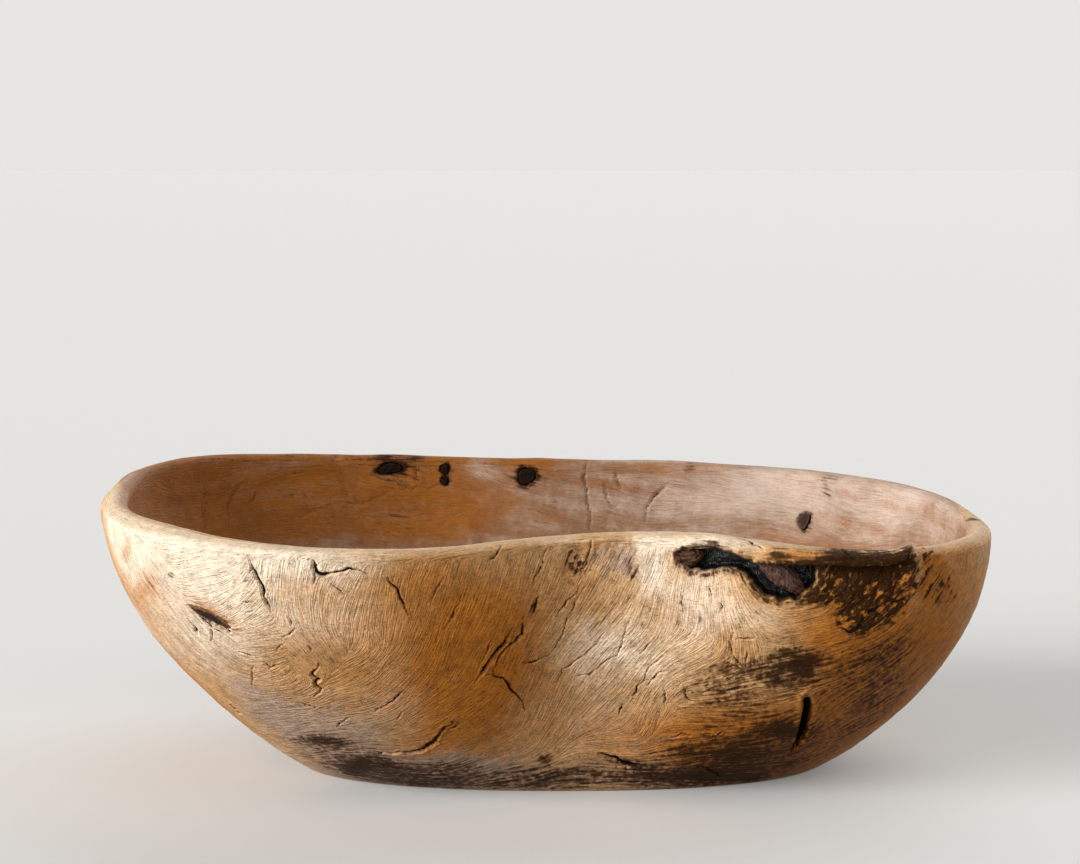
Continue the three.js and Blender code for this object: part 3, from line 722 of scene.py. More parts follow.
height *= (1 - np.maximum(np.maximum(pocket, slit), socket))
height = height - POCKET_DEPTH * pocket * (1 + 0.12 * tangle) - SLIT_DEPTH * slit - SOCKET_DEPTH * socket
height = height * step(0.0, 6.0, base[..., 2]) * step(0.03, 0.35, from_middle)
shaped = base + normal * height[..., None]
shaped[..., 2] = np.maximum(shaped[..., 2], 0.0)

# Colour grounds, partly painted light and shade: each soft mark is x, y, half width, half height, tilt,
# strength
# The pale marks on the left lobe, the lip, the ridge beside the scar and the left flank of the right lobe are
# partly painted light
PALE = [
    (185, 550, 95, 60, 0, 1.1), (300, 556, 90, 22, -4, 0.7), (250, 615, 95, 40, -12, 0.4),
    (600, 735, 50, 24, 0, 0.25), (695, 600, 46, 58, 0, 0.6), (575, 672, 40, 44, 0, 0.3),
    (350, 620, 50, 40, 0, 0.2), (200, 642, 40, 28, -40, 0.35), (650, 560, 20, 34, 0, 0.9),
    (715, 544, 60, 7, 0, 0.7), (625, 655, 36, 56, 50, 0.55), (760, 620, 50, 20, -10, 0.3),
    (118, 510, 26, 40, 0, 0.9), (470, 548, 70, 7, 4, 0.3), (560, 540, 40, 5, 0, 0.4),
    (230, 660, 50, 30, -30, 0.25),
]
# The rusty marks in the waist's valley, on the right side and low on the bowl are partly painted shade
RUST_AND_SHADE = [
    (470, 690, 75, 60, 50, 1.0), (445, 630, 60, 70, 55, 0.65), (505, 610, 45, 80, -25, 0.5),
    (800, 556, 45, 9, 0, 0.7), (150, 605, 30, 40, -30, 0.3), (420, 580, 50, 28, 0, 0.3),
    (890, 690, 90, 75, 40, 1.0), (710, 738, 110, 34, 0, 0.85), (955, 600, 40, 80, -20, 0.5),
    (610, 725, 70, 36, 0, 0.15), (840, 625, 60, 40, 20, 0.5), (340, 655, 60, 40, 0, 0.3),
    (140, 590, 14, 30, -30, 0.4), (128, 552, 5, 11, 0, 0.6), (800, 745, 60, 40, 20, 0.8),
    (214, 616, 28, 10, -30, 0.8), (430, 760, 60, 30, 0, 0.4), (880, 660, 50, 40, 0, 0.5),
    (745, 745, 70, 30, 0, 0.4), (735, 770, 60, 14, 0, 0.5),
]
GREY = [
    (330, 738, 95, 34, -25, 0.9), (265, 706, 50, 14, -40, 0.6), (420, 778, 110, 18, -3, 0.9),
    (600, 777, 130, 16, 0, 0.8), (745, 782, 90, 12, 0, 0.2), (618, 558, 24, 24, 0, 0.55),
    (390, 705, 45, 24, 20, 0.35), (470, 765, 60, 14, 10, 0.5), (690, 568, 22, 8, 0, 0.4),
    (650, 745, 60, 14, 0, 0.3), (690, 620, 22, 10, 0, 0.4), (250, 580, 12, 12, 0, 0.4),
    (600, 710, 60, 30, 0, 0.35),
]
# The dark marks low on the bowl and on the lower right lobe are partly painted shade, the rest stains
DARK = [
    (785, 662, 36, 20, 5, 0.5), (785, 652, 16, 8, 10, 0.35), (810, 663, 28, 9, 5, 0.6),
    (777, 681, 9, 5, 0, 0.6), (805, 676, 14, 12, 0, 0.5), (735, 672, 28, 10, 5, 0.3),
    (785, 728, 22, 12, 5, 0.8), (325, 740, 28, 5, -4, 0.75), (356, 765, 12, 6, -10, 0.9),
    (248, 579, 7, 7, 60, 0.5), (700, 777, 60, 6, 0, 0.5), (760, 784, 60, 7, 0, 0.6),
    (622, 762, 24, 4, -18, 0.6), (543, 758, 8, 6, 0, 0.8), (578, 560, 12, 16, 0, 0.65),
    (612, 562, 12, 18, 20, 0.25), (800, 562, 30, 4, 0, 0.5), (838, 556, 24, 7, 0, 0.7),
    (905, 552, 8, 12, 0, 0.6), (632, 572, 6, 12, 0, 0.7), (533, 608, 5, 8, 0, 0.9),
    (675, 566, 8, 7, 0, 0.4), (779, 553, 12, 6, 0, 0.8), (735, 560, 18, 4, -25, 0.5),
    (860, 559, 46, 6, 0, 1.2), (845, 549, 40, 4, 0, 0.5), (642, 626, 3, 4, 0, 0.7),
    (695, 617, 12, 7, 0, 0.35), (450, 670, 40, 9, 22, 0.35), (440, 735, 20, 10, 30, 0.4),
    (215, 622, 17, 7, -30, 0.6), (196, 628, 9, 7, -40, 0.35), (150, 578, 6, 12, 30, 0.3),
    (880, 655, 60, 18, 30, 0.25), (172, 576, 5, 5, 0, 0.4), (300, 757, 16, 6, -30, 0.4),
    (730, 690, 60, 36, 10, 0.64), (885, 680, 80, 55, 40, 0.45), (730, 766, 80, 16, 0, 0.4),
    (745, 752, 80, 24, 0, 0.6), (350, 757, 70, 20, -15, 0.55), (410, 777, 110, 17, -4, 0.7),
    (760, 740, 60, 26, 10, 0.3), (590, 777, 130, 14, 0, 0.75), (975, 520, 9, 7, 0, 0.8),
    (860, 720, 60, 40, 45, 0.30), (560, 600, 14, 16, 60, 0.3), (700, 752, 40, 8, 0, 0.3),
    (820, 600, 20, 12, 20, 0.4),
]
# The rusty and dark marks inside, on the left and in the middle, are partly painted shade, and the pale marks
# on the right partly painted light
INNER_RUST_AND_SHADE = [
    (410, 468, 44, 14, 0, 1.0), (330, 475, 50, 22, 0, 0.7), (190, 500, 70, 50, 0, 1.3),
    (540, 468, 30, 12, 0, 0.6), (280, 510, 90, 40, 0, 1.1), (440, 505, 80, 40, 0, 1.0),
    (370, 515, 70, 26, 0, 0.6), (700, 468, 40, 7, 0, 0.4), (880, 475, 40, 5, -5, 0.4),
]
INNER_DARK = [
    (391, 466, 13, 5, 0, 0.8), (382, 457, 8, 3, 0, 0.7), (300, 470, 40, 4, 0, 0.3),
    (690, 470, 7, 9, 0, 0.6), (826, 492, 6, 20, 10, 0.45), (806, 522, 9, 10, 0, 0.5),
    (712, 525, 24, 7, 0, 0.35), (640, 500, 16, 14, 0, 0.2), (405, 470, 44, 15, 0, 0.35),
    (360, 505, 110, 44, 0, 0.26), (540, 500, 60, 30, 0, 0.15), (416, 456, 5, 3, 0, 0.7),
    (835, 477, 16, 4, 0, 0.4), (527, 477, 12, 9, 0, 0.6), (447, 470, 6, 6, 0, 0.6),
    (447, 482, 5, 6, 0, 0.5), (205, 508, 5, 26, 0, 0.25),
]
INNER_PALE = [
    (915, 505, 70, 40, 0, 0.7), (800, 495, 70, 34, 0, 0.75), (482, 470, 22, 14, 0, 0.5),
    (690, 500, 70, 34, 0, 0.55), (760, 482, 30, 18, 0, 0.4), (600, 500, 50, 20, 0, 0.3),
]
STAIN_SIZE = 60.0  # of the stains where the picture shows no wood
AMBER_FROM, AMBER_FULL = 60.0, -120.0  # along the bowl, inside: rustier toward the left end and paler toward the right, partly as painted shade and light


def marked(marks, weight):
    total = np.zeros((ROWS, COLUMNS))
    for x, y, half_width, half_height, tilt, strength in marks:
        total += strength * blob(x, y, half_width, half_height, tilt)
    return total * weight


behind = np.where(is_outer | is_rim, (1 - front) * (1 - past_crest), 0.0)
hidden = np.where(is_inner, 1 - inside, 0.0)
patchy = [rough_noise(base * [1, 1, 1.4], STAIN_SIZE, SEED + 90 + i) for i in range(4)]
pale = marked(PALE, front) + behind * (0.35 + 0.6 * patchy[0])
amber_end = step(AMBER_FROM, AMBER_FULL, base[..., 0])
pale = pale + marked(INNER_PALE, inside) + hidden * (0.1 + 0.4 * (1 - amber_end) + 0.3 * patchy[0])
rust_and_shade = marked(RUST_AND_SHADE, front) + behind * (0.30 + 0.6 * patchy[1])
rust_and_shade = rust_and_shade + marked(INNER_RUST_AND_SHADE, inside) + hidden * (0.25 + 0.7 * amber_end + 0.35 * patchy[1])
grey = marked(GREY, front) + behind * (0.6 * low_wall + 0.3 * patchy[2] - 0.15) + 0.25 * scar
dark = marked(DARK, front) + behind * (0.8 * patchy[3] - 0.5) + marked(INNER_DARK, inside)
rags = tangle + 0.35 * coarse_fibre
dark += burl * mix(0.6, 1.15, step(-0.9, 0.7, rags))
# The hollow under the lip is darkened as painted shade
dark = dark + 0.9 * torn * step(-0.4, 0.7, rags) + 0.9 * under_lip
dark = dark + smudge + 0.8 * bell(pocket_inside, -2.0, 4.0) * front
# The rear left stretch of the rim is painted rusty and darker, partly as shade on its lit top
rear_left_rust_and_shade = rear_rim * is_rim * step(RUSTY_SHADED_RIM_END, RUSTY_SHADED_RIM_FULL, column_px)
rust_and_shade += 0.8 * rear_left_rust_and_shade
dark += 0.3 * rear_left_rust_and_shade * step(0.1, 0.4, over_rim)
rust_and_shade += 0.8 * np.maximum(burl, torn)
rough_ground = np.maximum(np.maximum(burl, torn), 0.9 * blob(*WAIST_BURL) * front)
# Where the inner colours are used; they are darker partly as painted shade
inner_side = np.where(is_inner | is_rim, past_crest, 0.0)
# The open slit is painted black as the shade in it
crack = np.maximum(crack, np.minimum(1.6 * slit, 1.0))
# Pale line along the rim's crest and the ridge beside the scar: partly wear, partly painted highlight
wear_and_highlight_line = bell(over_rim, mix(0.45, 0.15, rear_rim), mix(0.3, 0.12, rear_rim)) * is_rim
wear_and_highlight = np.maximum(wear_and_highlight_line * mix(1.0, 0.45 + 0.5 * patchy[1], rear_rim), 0.8 * scar_ridge)


# Meshes

def add_object(name, data):
    added = bpy.data.objects.new(name, data)
    bpy.context.scene.collection.objects.link(added)
    return added


def make_mesh(name, points, faces_by_size):
    mesh = bpy.data.meshes.new(name)
    mesh.vertices.add(len(points))
    mesh.vertices.foreach_set("co", (points * MM).astype(np.float32).ravel())
    corners = np.concatenate([faces.ravel() for faces in faces_by_size])
    sizes = np.concatenate([np.full(len(faces), faces.shape[1]) for faces in faces_by_size])
    mesh.loops.add(len(corners))
    mesh.loops.foreach_set("vertex_index", corners.astype(np.int32))
    mesh.polygons.add(len(sizes))
    mesh.polygons.foreach_set("loop_start", (np.cumsum(sizes) - sizes).astype(np.int32))
    mesh.update(calc_edges=True)
    mesh.shade_smooth()
    return add_object(name, mesh)


def add_values(piece, name, values):
    attribute = piece.data.attributes.new(name, "FLOAT", "POINT")
    attribute.data.foreach_set("value", np.asarray(values, np.float32).ravel())


def add_vectors(piece, name, values):
    attribute = piece.data.attributes.new(name, "FLOAT_VECTOR", "POINT")
    attribute.data.foreach_set("vector", np.asarray(values, np.float32).ravel())


def grid_faces(rows, columns):
    """Quads of a grid that closes on itself along its columns."""
    r, c = np.meshgrid(np.arange(rows - 1), np.arange(columns), indexing="ij")
    right = (c + 1) % columns
    quads = [r * columns + c, r * columns + right, (r + 1) * columns + right, (r + 1) * columns + c]
    return np.stack(quads, -1).reshape(-1, 4)


def cap_faces(rows, columns):
    """Triangles from the first and last row to the two points that follow the grid."""
    c = np.arange(columns)
    right = (c + 1) % columns
    first = np.stack([np.full(columns, rows * columns), right, c], -1)
    last_row = (rows - 1) * columns
    last = np.stack([last_row + c, last_row + right, np.full(columns, rows * columns + 1)], -1)
    return np.concatenate([first, last])


ends = np.array([[FOOT_X, FOOT_Y, 0.0], [FOOT_X, FOOT_Y, FLOOR_MIDDLE]])
wood_points = np.concatenate([shaped.reshape(-1, 3), ends])
wood = make_mesh("bowl_wood", wood_points, [grid_faces(ROWS, COLUMNS), cap_faces(ROWS, COLUMNS)])
for mask_name, mask in [
    ("pale", pale), ("rust_and_shade", rust_and_shade), ("grey", grey), ("dark", dark), ("inner_side", inner_side), ("crack", crack),
    ("pocket", pocket), ("wear_and_highlight", wear_and_highlight), ("rough_ground", rough_ground),
]:
    add_values(wood, mask_name, np.concatenate([mask.ravel(), [0.0, 0.0]]))
add_vectors(wood, "grain", np.concatenate([grain_way.reshape(-1, 3), [[1, 0, 0], [1, 0, 0]]]))


def add_bake_map(piece):
    """Flat map of the sheet: round the bowl by the turn and across it by the rows' distance."""
    row_distance = running_sum(row_gap.mean(1)[1:])
    corner_vertex = np.zeros(len(piece.data.loops), np.int32)
    piece.data.loops.foreach_get("vertex_index", corner_vertex)
    row_of = np.minimum(corner_vertex // COLUMNS, ROWS - 1)
    map_u = turns[corner_vertex % COLUMNS] / 360
    map_v = 0.01 + 0.98 * row_distance[row_of] / row_distance[-1]
    is_end = corner_vertex >= ROWS * COLUMNS
    map_v[is_end] = np.where(corner_vertex[is_end] == ROWS * COLUMNS, 0.002, 0.998)
    quad_corners = (ROWS - 1) * COLUMNS * 4
    quads = map_u[:quad_corners].reshape(-1, 4)
    over_seam = np.ptp(quads, axis=1) > 0.5
    quads[over_seam] = np.where(quads[over_seam] < 0.5, 1.0, quads[over_seam])
    caps = map_u[quad_corners:].reshape(2, COLUMNS, 3)
    for cap, end in zip(caps, (0, 2)):
        others = [corner for corner in range(3) if corner != end]
        pair = cap[:, others]
        pair = np.where((np.ptp(pair, axis=1) > 0.5)[:, None] & (pair < 0.5), 1.0, pair)
        cap[:, others] = pair
        cap[:, end] = pair.mean(1)
    bake_map = piece.data.uv_layers.new(name="OFBake")
    bake_map.data.foreach_set("uv", np.stack([map_u, map_v], -1).astype(np.float32).ravel())


add_bake_map(wood)


# Node materials

def feed(tree, socket_in, value):
    if isinstance(value, Field):
        tree.links.new(value.socket, socket_in)
    elif isinstance(value, tuple):
        socket_in.default_value = (*value, 1.0)
    else:
        socket_in.default_value = value


class Field:
    """What a node gives over a surface; sums, products and ranges of fields are nodes too."""

    def __init__(self, tree, socket):
        self.tree = tree
        self.socket = socket

    def worked(self, operation, first, second=0.0):
        node = self.tree.nodes.new("ShaderNodeMath")
        node.operation = operation
        feed(self.tree, node.inputs[0], first)
        feed(self.tree, node.inputs[1], second)
        return Field(self.tree, node.outputs["Value"])

    def __add__(self, other):
        return self.worked("ADD", self, other)

    def __sub__(self, other):
        return self.worked("SUBTRACT", self, other)

    def __rsub__(self, other):
        return self.worked("SUBTRACT", other, self)

    def __mul__(self, other):
        return self.worked("MULTIPLY", self, other)

    def __abs__(self):
        return self.worked("ABSOLUTE", self)

    def at_least(self, other):
        return self.worked("MAXIMUM", self, other)

    def ranged(self, from_low, from_high, to_low=0.0, to_high=1.0, smooth=False):
        node = self.tree.nodes.new("ShaderNodeMapRange")
        node.interpolation_type = "SMOOTHSTEP" if smooth else "LINEAR"
        limits = {"From Min": from_low, "From Max": from_high, "To Min": to_low, "To Max": to_high}
        for key, value in {"Value": self, **limits}.items():
            feed(self.tree, node.inputs[key], value)
        return Field(self.tree, node.outputs["Result"])


class Paint:
    """A node material with its shader, and the ways to make fields and colours in it."""

    def __init__(self, name):
        self.material = bpy.data.materials.new(name)
        self.material.use_nodes = True
        self.tree = self.material.node_tree
        self.tree.nodes.clear()
        output = self.tree.nodes.new("ShaderNodeOutputMaterial")
        self.shader = self.tree.nodes.new("ShaderNodeBsdfPrincipled")
        self.tree.links.new(self.shader.outputs["BSDF"], output.inputs["Surface"])

    def set(self, socket_name, value):
        feed(self.tree, self.shader.inputs[socket_name], value)

    def mixed(self, share, first, second, blend="MIX"):
        node = self.tree.nodes.new("ShaderNodeMix")
        node.data_type = "RGBA"
        node.blend_type = blend
        feed(self.tree, node.inputs["Factor"], share)
        feed(self.tree, node.inputs[6], first)
        feed(self.tree, node.inputs[7], second)
        return Field(self.tree, node.outputs[2])

    def toned(self, colour, tone):
        return self.mixed(1.0, colour, tone, "MULTIPLY")

    def mask(self, name):
        node = self.tree.nodes.new("ShaderNodeAttribute")
        node.attribute_name = name
        return Field(self.tree, node.outputs["Fac"])

    def place(self):
        return self.tree.nodes.new("ShaderNodeTexCoord").outputs["Object"]

    def noise_at(self, place, scale, detail):
        node = self.tree.nodes.new("ShaderNodeTexNoise")
        node.inputs["Scale"].default_value = scale
        node.inputs["Detail"].default_value = detail
        self.tree.links.new(place, node.inputs["Vector"])
        return Field(self.tree, node.outputs["Fac"])

    def noise(self, scale, detail, stretch=(1.0, 1.0, 1.0)):
        mapping = self.tree.nodes.new("ShaderNodeMapping")
        mapping.inputs["Scale"].default_value = stretch
        self.tree.links.new(self.place(), mapping.inputs["Vector"])
        return self.noise_at(mapping.outputs["Vector"], scale, detail)

    def drawn_noise(self, scale, reach, count, contrast):
        """Noise drawn out along the grain, about -1 to 1: the mean of close samples before and behind."""
        grain = self.tree.nodes.new("ShaderNodeAttribute")
        grain.attribute_name = "grain"
        place = self.place()
        samples = []
        for offset in np.linspace(-reach, reach, count):
            shift = self.tree.nodes.new("ShaderNodeVectorMath")
            shift.operation = "MULTIPLY_ADD"
            self.tree.links.new(grain.outputs["Vector"], shift.inputs[0])
            shift.inputs[1].default_value = (offset, offset, offset)
            self.tree.links.new(place, shift.inputs[2])
            samples.append(self.noise_at(shift.outputs["Vector"], scale, 0.0))
        total = sum(samples[1:], samples[0])
        half_range = contrast * count
        return total.ranged(0.5 * count - half_range, 0.5 * count + half_range, -1.0, 1.0)

    def bump(self, relief, strength, distance):
        node = self.tree.nodes.new("ShaderNodeBump")
        node.inputs["Strength"].default_value = strength
        node.inputs["Distance"].default_value = distance
        feed(self.tree, node.inputs["Height"], relief)
        self.tree.links.new(node.outputs["Normal"], self.shader.inputs["Normal"])


TAN = (0.65, 0.38, 0.17)
AMBER = (0.55, 0.255, 0.075)
# CREAM, where the pale marks lie, is partly painted light
CREAM = (0.88, 0.71, 0.53)
# RUST_BROWN is saturated partly as painted shade
RUST_BROWN = (0.52, 0.178, 0.020)
SILVER = (0.48, 0.345, 0.26)
UMBER = (0.14, 0.054, 0.015)
DARK_BROWN = (0.030, 0.012, 0.004)
BLACK = (0.006, 0.005, 0.005)
# The inner colours are darker partly as painted shade inside the bowl
INNER_TAN = (0.30, 0.160, 0.085)
INNER_CREAM = (0.56, 0.43, 0.345)
INNER_BROWN = (0.295, 0.098, 0.011)
# Pale edge colour, partly painted highlight
WEAR_AND_HIGHLIGHT_EDGE = (0.53, 0.375, 0.22)


def wood_material():
    paint = Paint("root_wood")
    hair = paint.drawn_noise(1800.0, 0.0030, 13, 0.085)
    strand = paint.drawn_noise(680.0, 0.0050, 9, 0.11)
    clouds = paint.noise(45.0, 6.0)
    blotches = paint.noise(26.0, 4.0)
    patches = paint.noise(60.0, 2.0)
    pieces = paint.noise(190.0, 1.0)
    grit = paint.noise(900.0, 3.0) - 0.5
    scratch = paint.noise(420.0, 3.0, (1.0, 1.0, 3.2)) - 0.5
    mottle = paint.noise(210.0, 9.0) - 0.5
    shreds = paint.noise(360.0, 9.0) - 0.5
    inner_side = paint.mask("inner_side")
    wear_and_highlight = paint.mask("wear_and_highlight")
    outward = 1.0 - (inner_side * 0.7).at_least(wear_and_highlight * 0.45)

    def ragged(soft, low, high, along=0.14, across=0.35):
        """A mask whose soft edge is broken up by strands, hairs and clouds."""
        edge = soft + strand * along + hair * (0.6 * along) + (clouds - 0.5) * across
        return edge.ranged(low, high, smooth=True)

    # Grounds outside and inside; the pale, rusty and inner grounds are partly painted light and shade
    pale = ragged(paint.mask("pale"), 0.05, 0.95)
    rust_and_shade = ragged(paint.mask("rust_and_shade"), 0.05, 1.05)
    outside = paint.mixed(blotches.ranged(0.42, 0.68, 0.0, 0.8), TAN, AMBER)
    outside = paint.mixed(pale, outside, CREAM)
    outside = paint.mixed(rust_and_shade, outside, RUST_BROWN)
    inner = paint.mixed(rust_and_shade, INNER_TAN, INNER_BROWN)
    inner = paint.mixed(pale, inner, INNER_CREAM)
    warm = paint.drawn_noise(95.0, 0.022, 7, 0.11) + mottle * 2.0
    inner = paint.mixed(warm.ranged(0.0, 1.1, 0.0, 0.55, smooth=True), inner, INNER_BROWN)
    bloom = paint.drawn_noise(130.0, 0.016, 7, 0.11) + mottle * 2.4
    bloom = bloom.ranged(-0.6, 1.5, 0.0, 0.5, smooth=True) * rust_and_shade.ranged(0.0, 1.0, 1.0, 0.15)
    inner = paint.mixed(bloom, inner, INNER_CREAM)
    colour = paint.mixed(inner_side, outside, inner)
    grey = ragged(paint.mask("grey") + shreds * 0.7, 0.1, 1.0, 0.3)
    colour = paint.mixed(grey * 0.85, colour, SILVER)
    colour = paint.mixed(ragged(wear_and_highlight, 0.2, 1.0) * 0.6, colour, WEAR_AND_HIGHLIGHT_EDGE)

    # Tone of the hairs, and fine open lines painted dark, partly as the shade in them
    combed = hair * patches.ranged(0.36, 0.64, 0.17, 0.44)
    tone = (combed + strand * 0.05 + mottle * 0.95 + grit * 0.9 + scratch * 0.9) * outward
    colour = paint.toned(colour, tone + (clouds - 0.5) * 0.65 + 1.08)
    fine = hair.ranged(-0.55, -0.95) * patches.ranged(0.53, 0.67, 0.05, 0.9)
    line = abs(strand).ranged(0.02, 0.10, 1.0, 0.0, smooth=True) * pieces.ranged(0.58, 0.66)
    nick = scratch.ranged(-0.15, -0.25, 0.0, 0.9) * clouds.ranged(0.46, 0.56)
    fissure = fine.at_least(line).at_least(nick) * outward * pale.ranged(0.0, 1.0, 1.0, 0.6)
    colour = paint.mixed(fissure * 0.7, colour, UMBER)

    # Stains and soot, partly painted shade low on the bowl and under the lip; cracks and the pocket, painted
    # dark partly as their shade
    torn_up = paint.mask("rough_ground") * (shreds * 2.2 + strand * 0.35)
    dark = paint.mask("dark")
    grainy = dark + shreds * dark.ranged(0.1, 0.6, 0.0, 2.1) * (1.0 - inner_side) + torn_up
    stain_and_shade = ragged(grainy, 0.15, 0.85, 0.34, 0.55)
    colour = paint.mixed(stain_and_shade * 0.8, colour, UMBER)
    soot_and_shade = ragged(grainy, 0.50, 1.15, 0.42, 0.5)
    colour = paint.mixed(soot_and_shade * 0.92, colour, DARK_BROWN)
    uneven_dark = (hair * 0.35 + shreds * 2.6) * stain_and_shade + 1.0
    colour = paint.toned(colour, uneven_dark.at_least(0.25))
    # Cracks and the slit are painted black as the shade in them
    crack = (paint.mask("crack") + hair * 0.2).ranged(0.30, 0.62, smooth=True)
    colour = paint.mixed(crack, colour, BLACK)
    # The pocket is painted black, partly the dark of its inside and partly painted shade of its depth
    pocket = paint.mask("pocket")
    paint.set("Base Color", paint.mixed(pocket.ranged(0.12, 0.5), colour, BLACK))
    paint.set("Roughness", clouds.ranged(0.2, 0.8, 0.50, 0.66) - pocket * 0.32)
    paint.set("Specular IOR Level", soot_and_shade.ranged(0.0, 1.0, 0.16, 0.04) + pocket * 0.12)
    relief = hair * 0.5 + strand * 0.25 + grit * 0.4 - fissure * 0.9 + torn_up * 1.2
    paint.bump(relief, 0.5, 0.0006)
    return paint.material


def bark_material(name, deep, light, stretch):
    paint = Paint(name)
    shreds = paint.noise(260.0, 8.0, stretch)
    flecks = paint.noise(700.0, 4.0)
    colour = paint.mixed(shreds.ranged(0.35, 0.68), deep, light)
    colour = paint.toned(colour, flecks.ranged(0.3, 0.7, 0.7, 1.2))
    paint.set("Base Color", paint.mixed(paint.mask("crack"), colour, BLACK))
    paint.set("Roughness", shreds.ranged(0.3, 0.7, 0.40, 0.75))
    paint.set("Specular IOR Level", 0.2)
    paint.bump(shreds, 0.9, 0.0015)
    return paint.material


def knot_material(name, core, ragged_edge):
    paint = Paint(name)
    rags = paint.noise(330.0, 6.0)
    flecks = paint.noise(1100.0, 3.0)
    share = (paint.mask("edge") + rags * 1.8).ranged(1.2, 1.9, 0.0, 0.9, smooth=True)
    colour = paint.mixed(share, core, ragged_edge)
    paint.set("Base Color", paint.toned(colour, flecks.ranged(0.3, 0.7, 0.6, 1.3)))
    paint.set("Roughness", rags.ranged(0.3, 0.7, 0.5, 0.8))
    paint.set("Specular IOR Level", 0.05)
    paint.bump(rags, 0.5, 0.0008)
    return paint.material


def settle(piece, node, material):
    piece.data.materials.append(material)
    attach(piece, "root")
    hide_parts(node)


settle(wood, "bowl_body", wood_material())

# Loose plugs: their faces follow the wall, a little uneven and rounded off at the edge
PLUG_SHARES = np.linspace(0.08, 1.0, 10)
PLUG_SPOKES = 56
PLUG_SHAFT = 3.6


def onto_surface(points, surface, turn, rise, out):
    """Moves points along the way out until they lie on the wall near that place."""
    t, r = np.meshgrid(turn + np.linspace(-5, 5, 81), np.clip(rise + np.linspace(-0.12, 0.12, 61), 0, 1))
    wall = surface(t, r).reshape(-1, 3)
    flat_wall = wall - np.outer(wall @ out, out)
    flat_points = points.reshape(-1, 3)
    flat_points = flat_points - np.outer(flat_points @ out, out)
    nearest = [np.argmin(((flat_wall - point) ** 2).sum(1)) for point in flat_points]
    return (flat_points + np.outer((wall @ out)[nearest], out)).reshape(points.shape)


def plug_piece(name, plug, seed):
    side, turn, rise, half_length, half_width, tilt = plug
    point, long_axis, short_axis, out = tilted_axes(side, turn, rise, tilt)
    around = np.linspace(0, 2 * np.pi, PLUG_SPOKES, endpoint=False)
    u = PLUG_SHARES[:, None] * plug_outline(around) * np.cos(around) * half_length
    v = PLUG_SHARES[:, None] * plug_outline(around) * np.sin(around) * half_width
    face = point + u[..., None] * long_axis + v[..., None] * short_axis
    face = onto_surface(face, surface_of(side), turn, rise, out)
    uneven = 0.3 * rough_noise(face, 2.2, seed) + 0.15 * rough_noise(face, 0.9, seed + 3)
    edge = PLUG_SHARES[:, None] ** 5 * np.ones((1, PLUG_SPOKES))
    face = face + out * (uneven - 0.15 - 0.2 * edge)[..., None]
    brim = face[-1]
    skirt = [brim - out * drop - (brim - point) * 0.03 * drop for drop in (PLUG_SHAFT, PLUG_SHAFT / 2)]
    rows = np.concatenate([np.array(skirt), face[::-1]])
    count = len(rows)
    points = np.concatenate([rows.reshape(-1, 3), [rows[0].mean(0), rows[-1].mean(0)]])
    piece = make_mesh(name + "_plug", points, [grid_faces(count, PLUG_SPOKES), cap_faces(count, PLUG_SPOKES)])
    outer_share = np.concatenate([[1.0, 1.0], PLUG_SHARES[::-1]]) ** 2
    add_values(piece, "edge", np.concatenate([np.repeat(outer_share, PLUG_SPOKES), [1.0, 0.0]]))
    return piece


bark = bark_material("bark", (0.030, 0.014, 0.007), (0.21, 0.095, 0.038), (1.0, 1.0, 4.0))
red_bark = bark_material("red_bark", (0.045, 0.020, 0.013), (0.20, 0.10, 0.068), (3.0, 1.0, 1.0))
seam_bark = knot_material("seam_bark", (0.035, 0.022, 0.017), (0.26, 0.12, 0.05))
dead_wood = knot_material("dead_knot_wood", (0.010, 0.006, 0.005), (0.024, 0.011, 0.006))
brown_knot = knot_material("brown_knot_wood", (0.045, 0.028, 0.022), (0.10, 0.06, 0.042))
grey_wood = knot_material("grey_knot_wood", (0.10, 0.075, 0.06), (0.30, 0.23, 0.17))
PLUG_FINISH = {
    "left_seam_bark": ("bark", seam_bark),
    "rear_knot": ("dead_knot", dead_wood),
    "rear_bark_streak": ("bark", dead_wood),
    "rear_pin_knot_upper": ("dead_knot", dead_wood),
    "rear_pin_knot_lower": ("dead_knot", dead_wood),
    "right_wall_knot": ("dead_knot", brown_knot),
    "rim_end_knot": ("grey_knot", grey_wood),
}
for number, (name, plug) in enumerate(PLUGS.items()):
    slot_name, finish = PLUG_FINISH[name]
    settle(plug_piece(name, plug, SEED + 200 + 10 * number), name, finish)

# Bark lumps in the pocket: turn, rise, sunk, half length, half width, half depth, tilt
LUMPS = {
    "pocket_bark_right": (308.0, 0.914, 5.0, 11.4, 5.2, 4.2, -38.0),
    "pocket_bark_left": (295.2, 0.954, 5.0, 6.2, 5.0, 4.0, 0.0),
}
LUMP_FINISH = {"pocket_bark_right": red_bark, "pocket_bark_left": bark}
LUMP_BANDS, LUMP_SPOKES = 40, 72


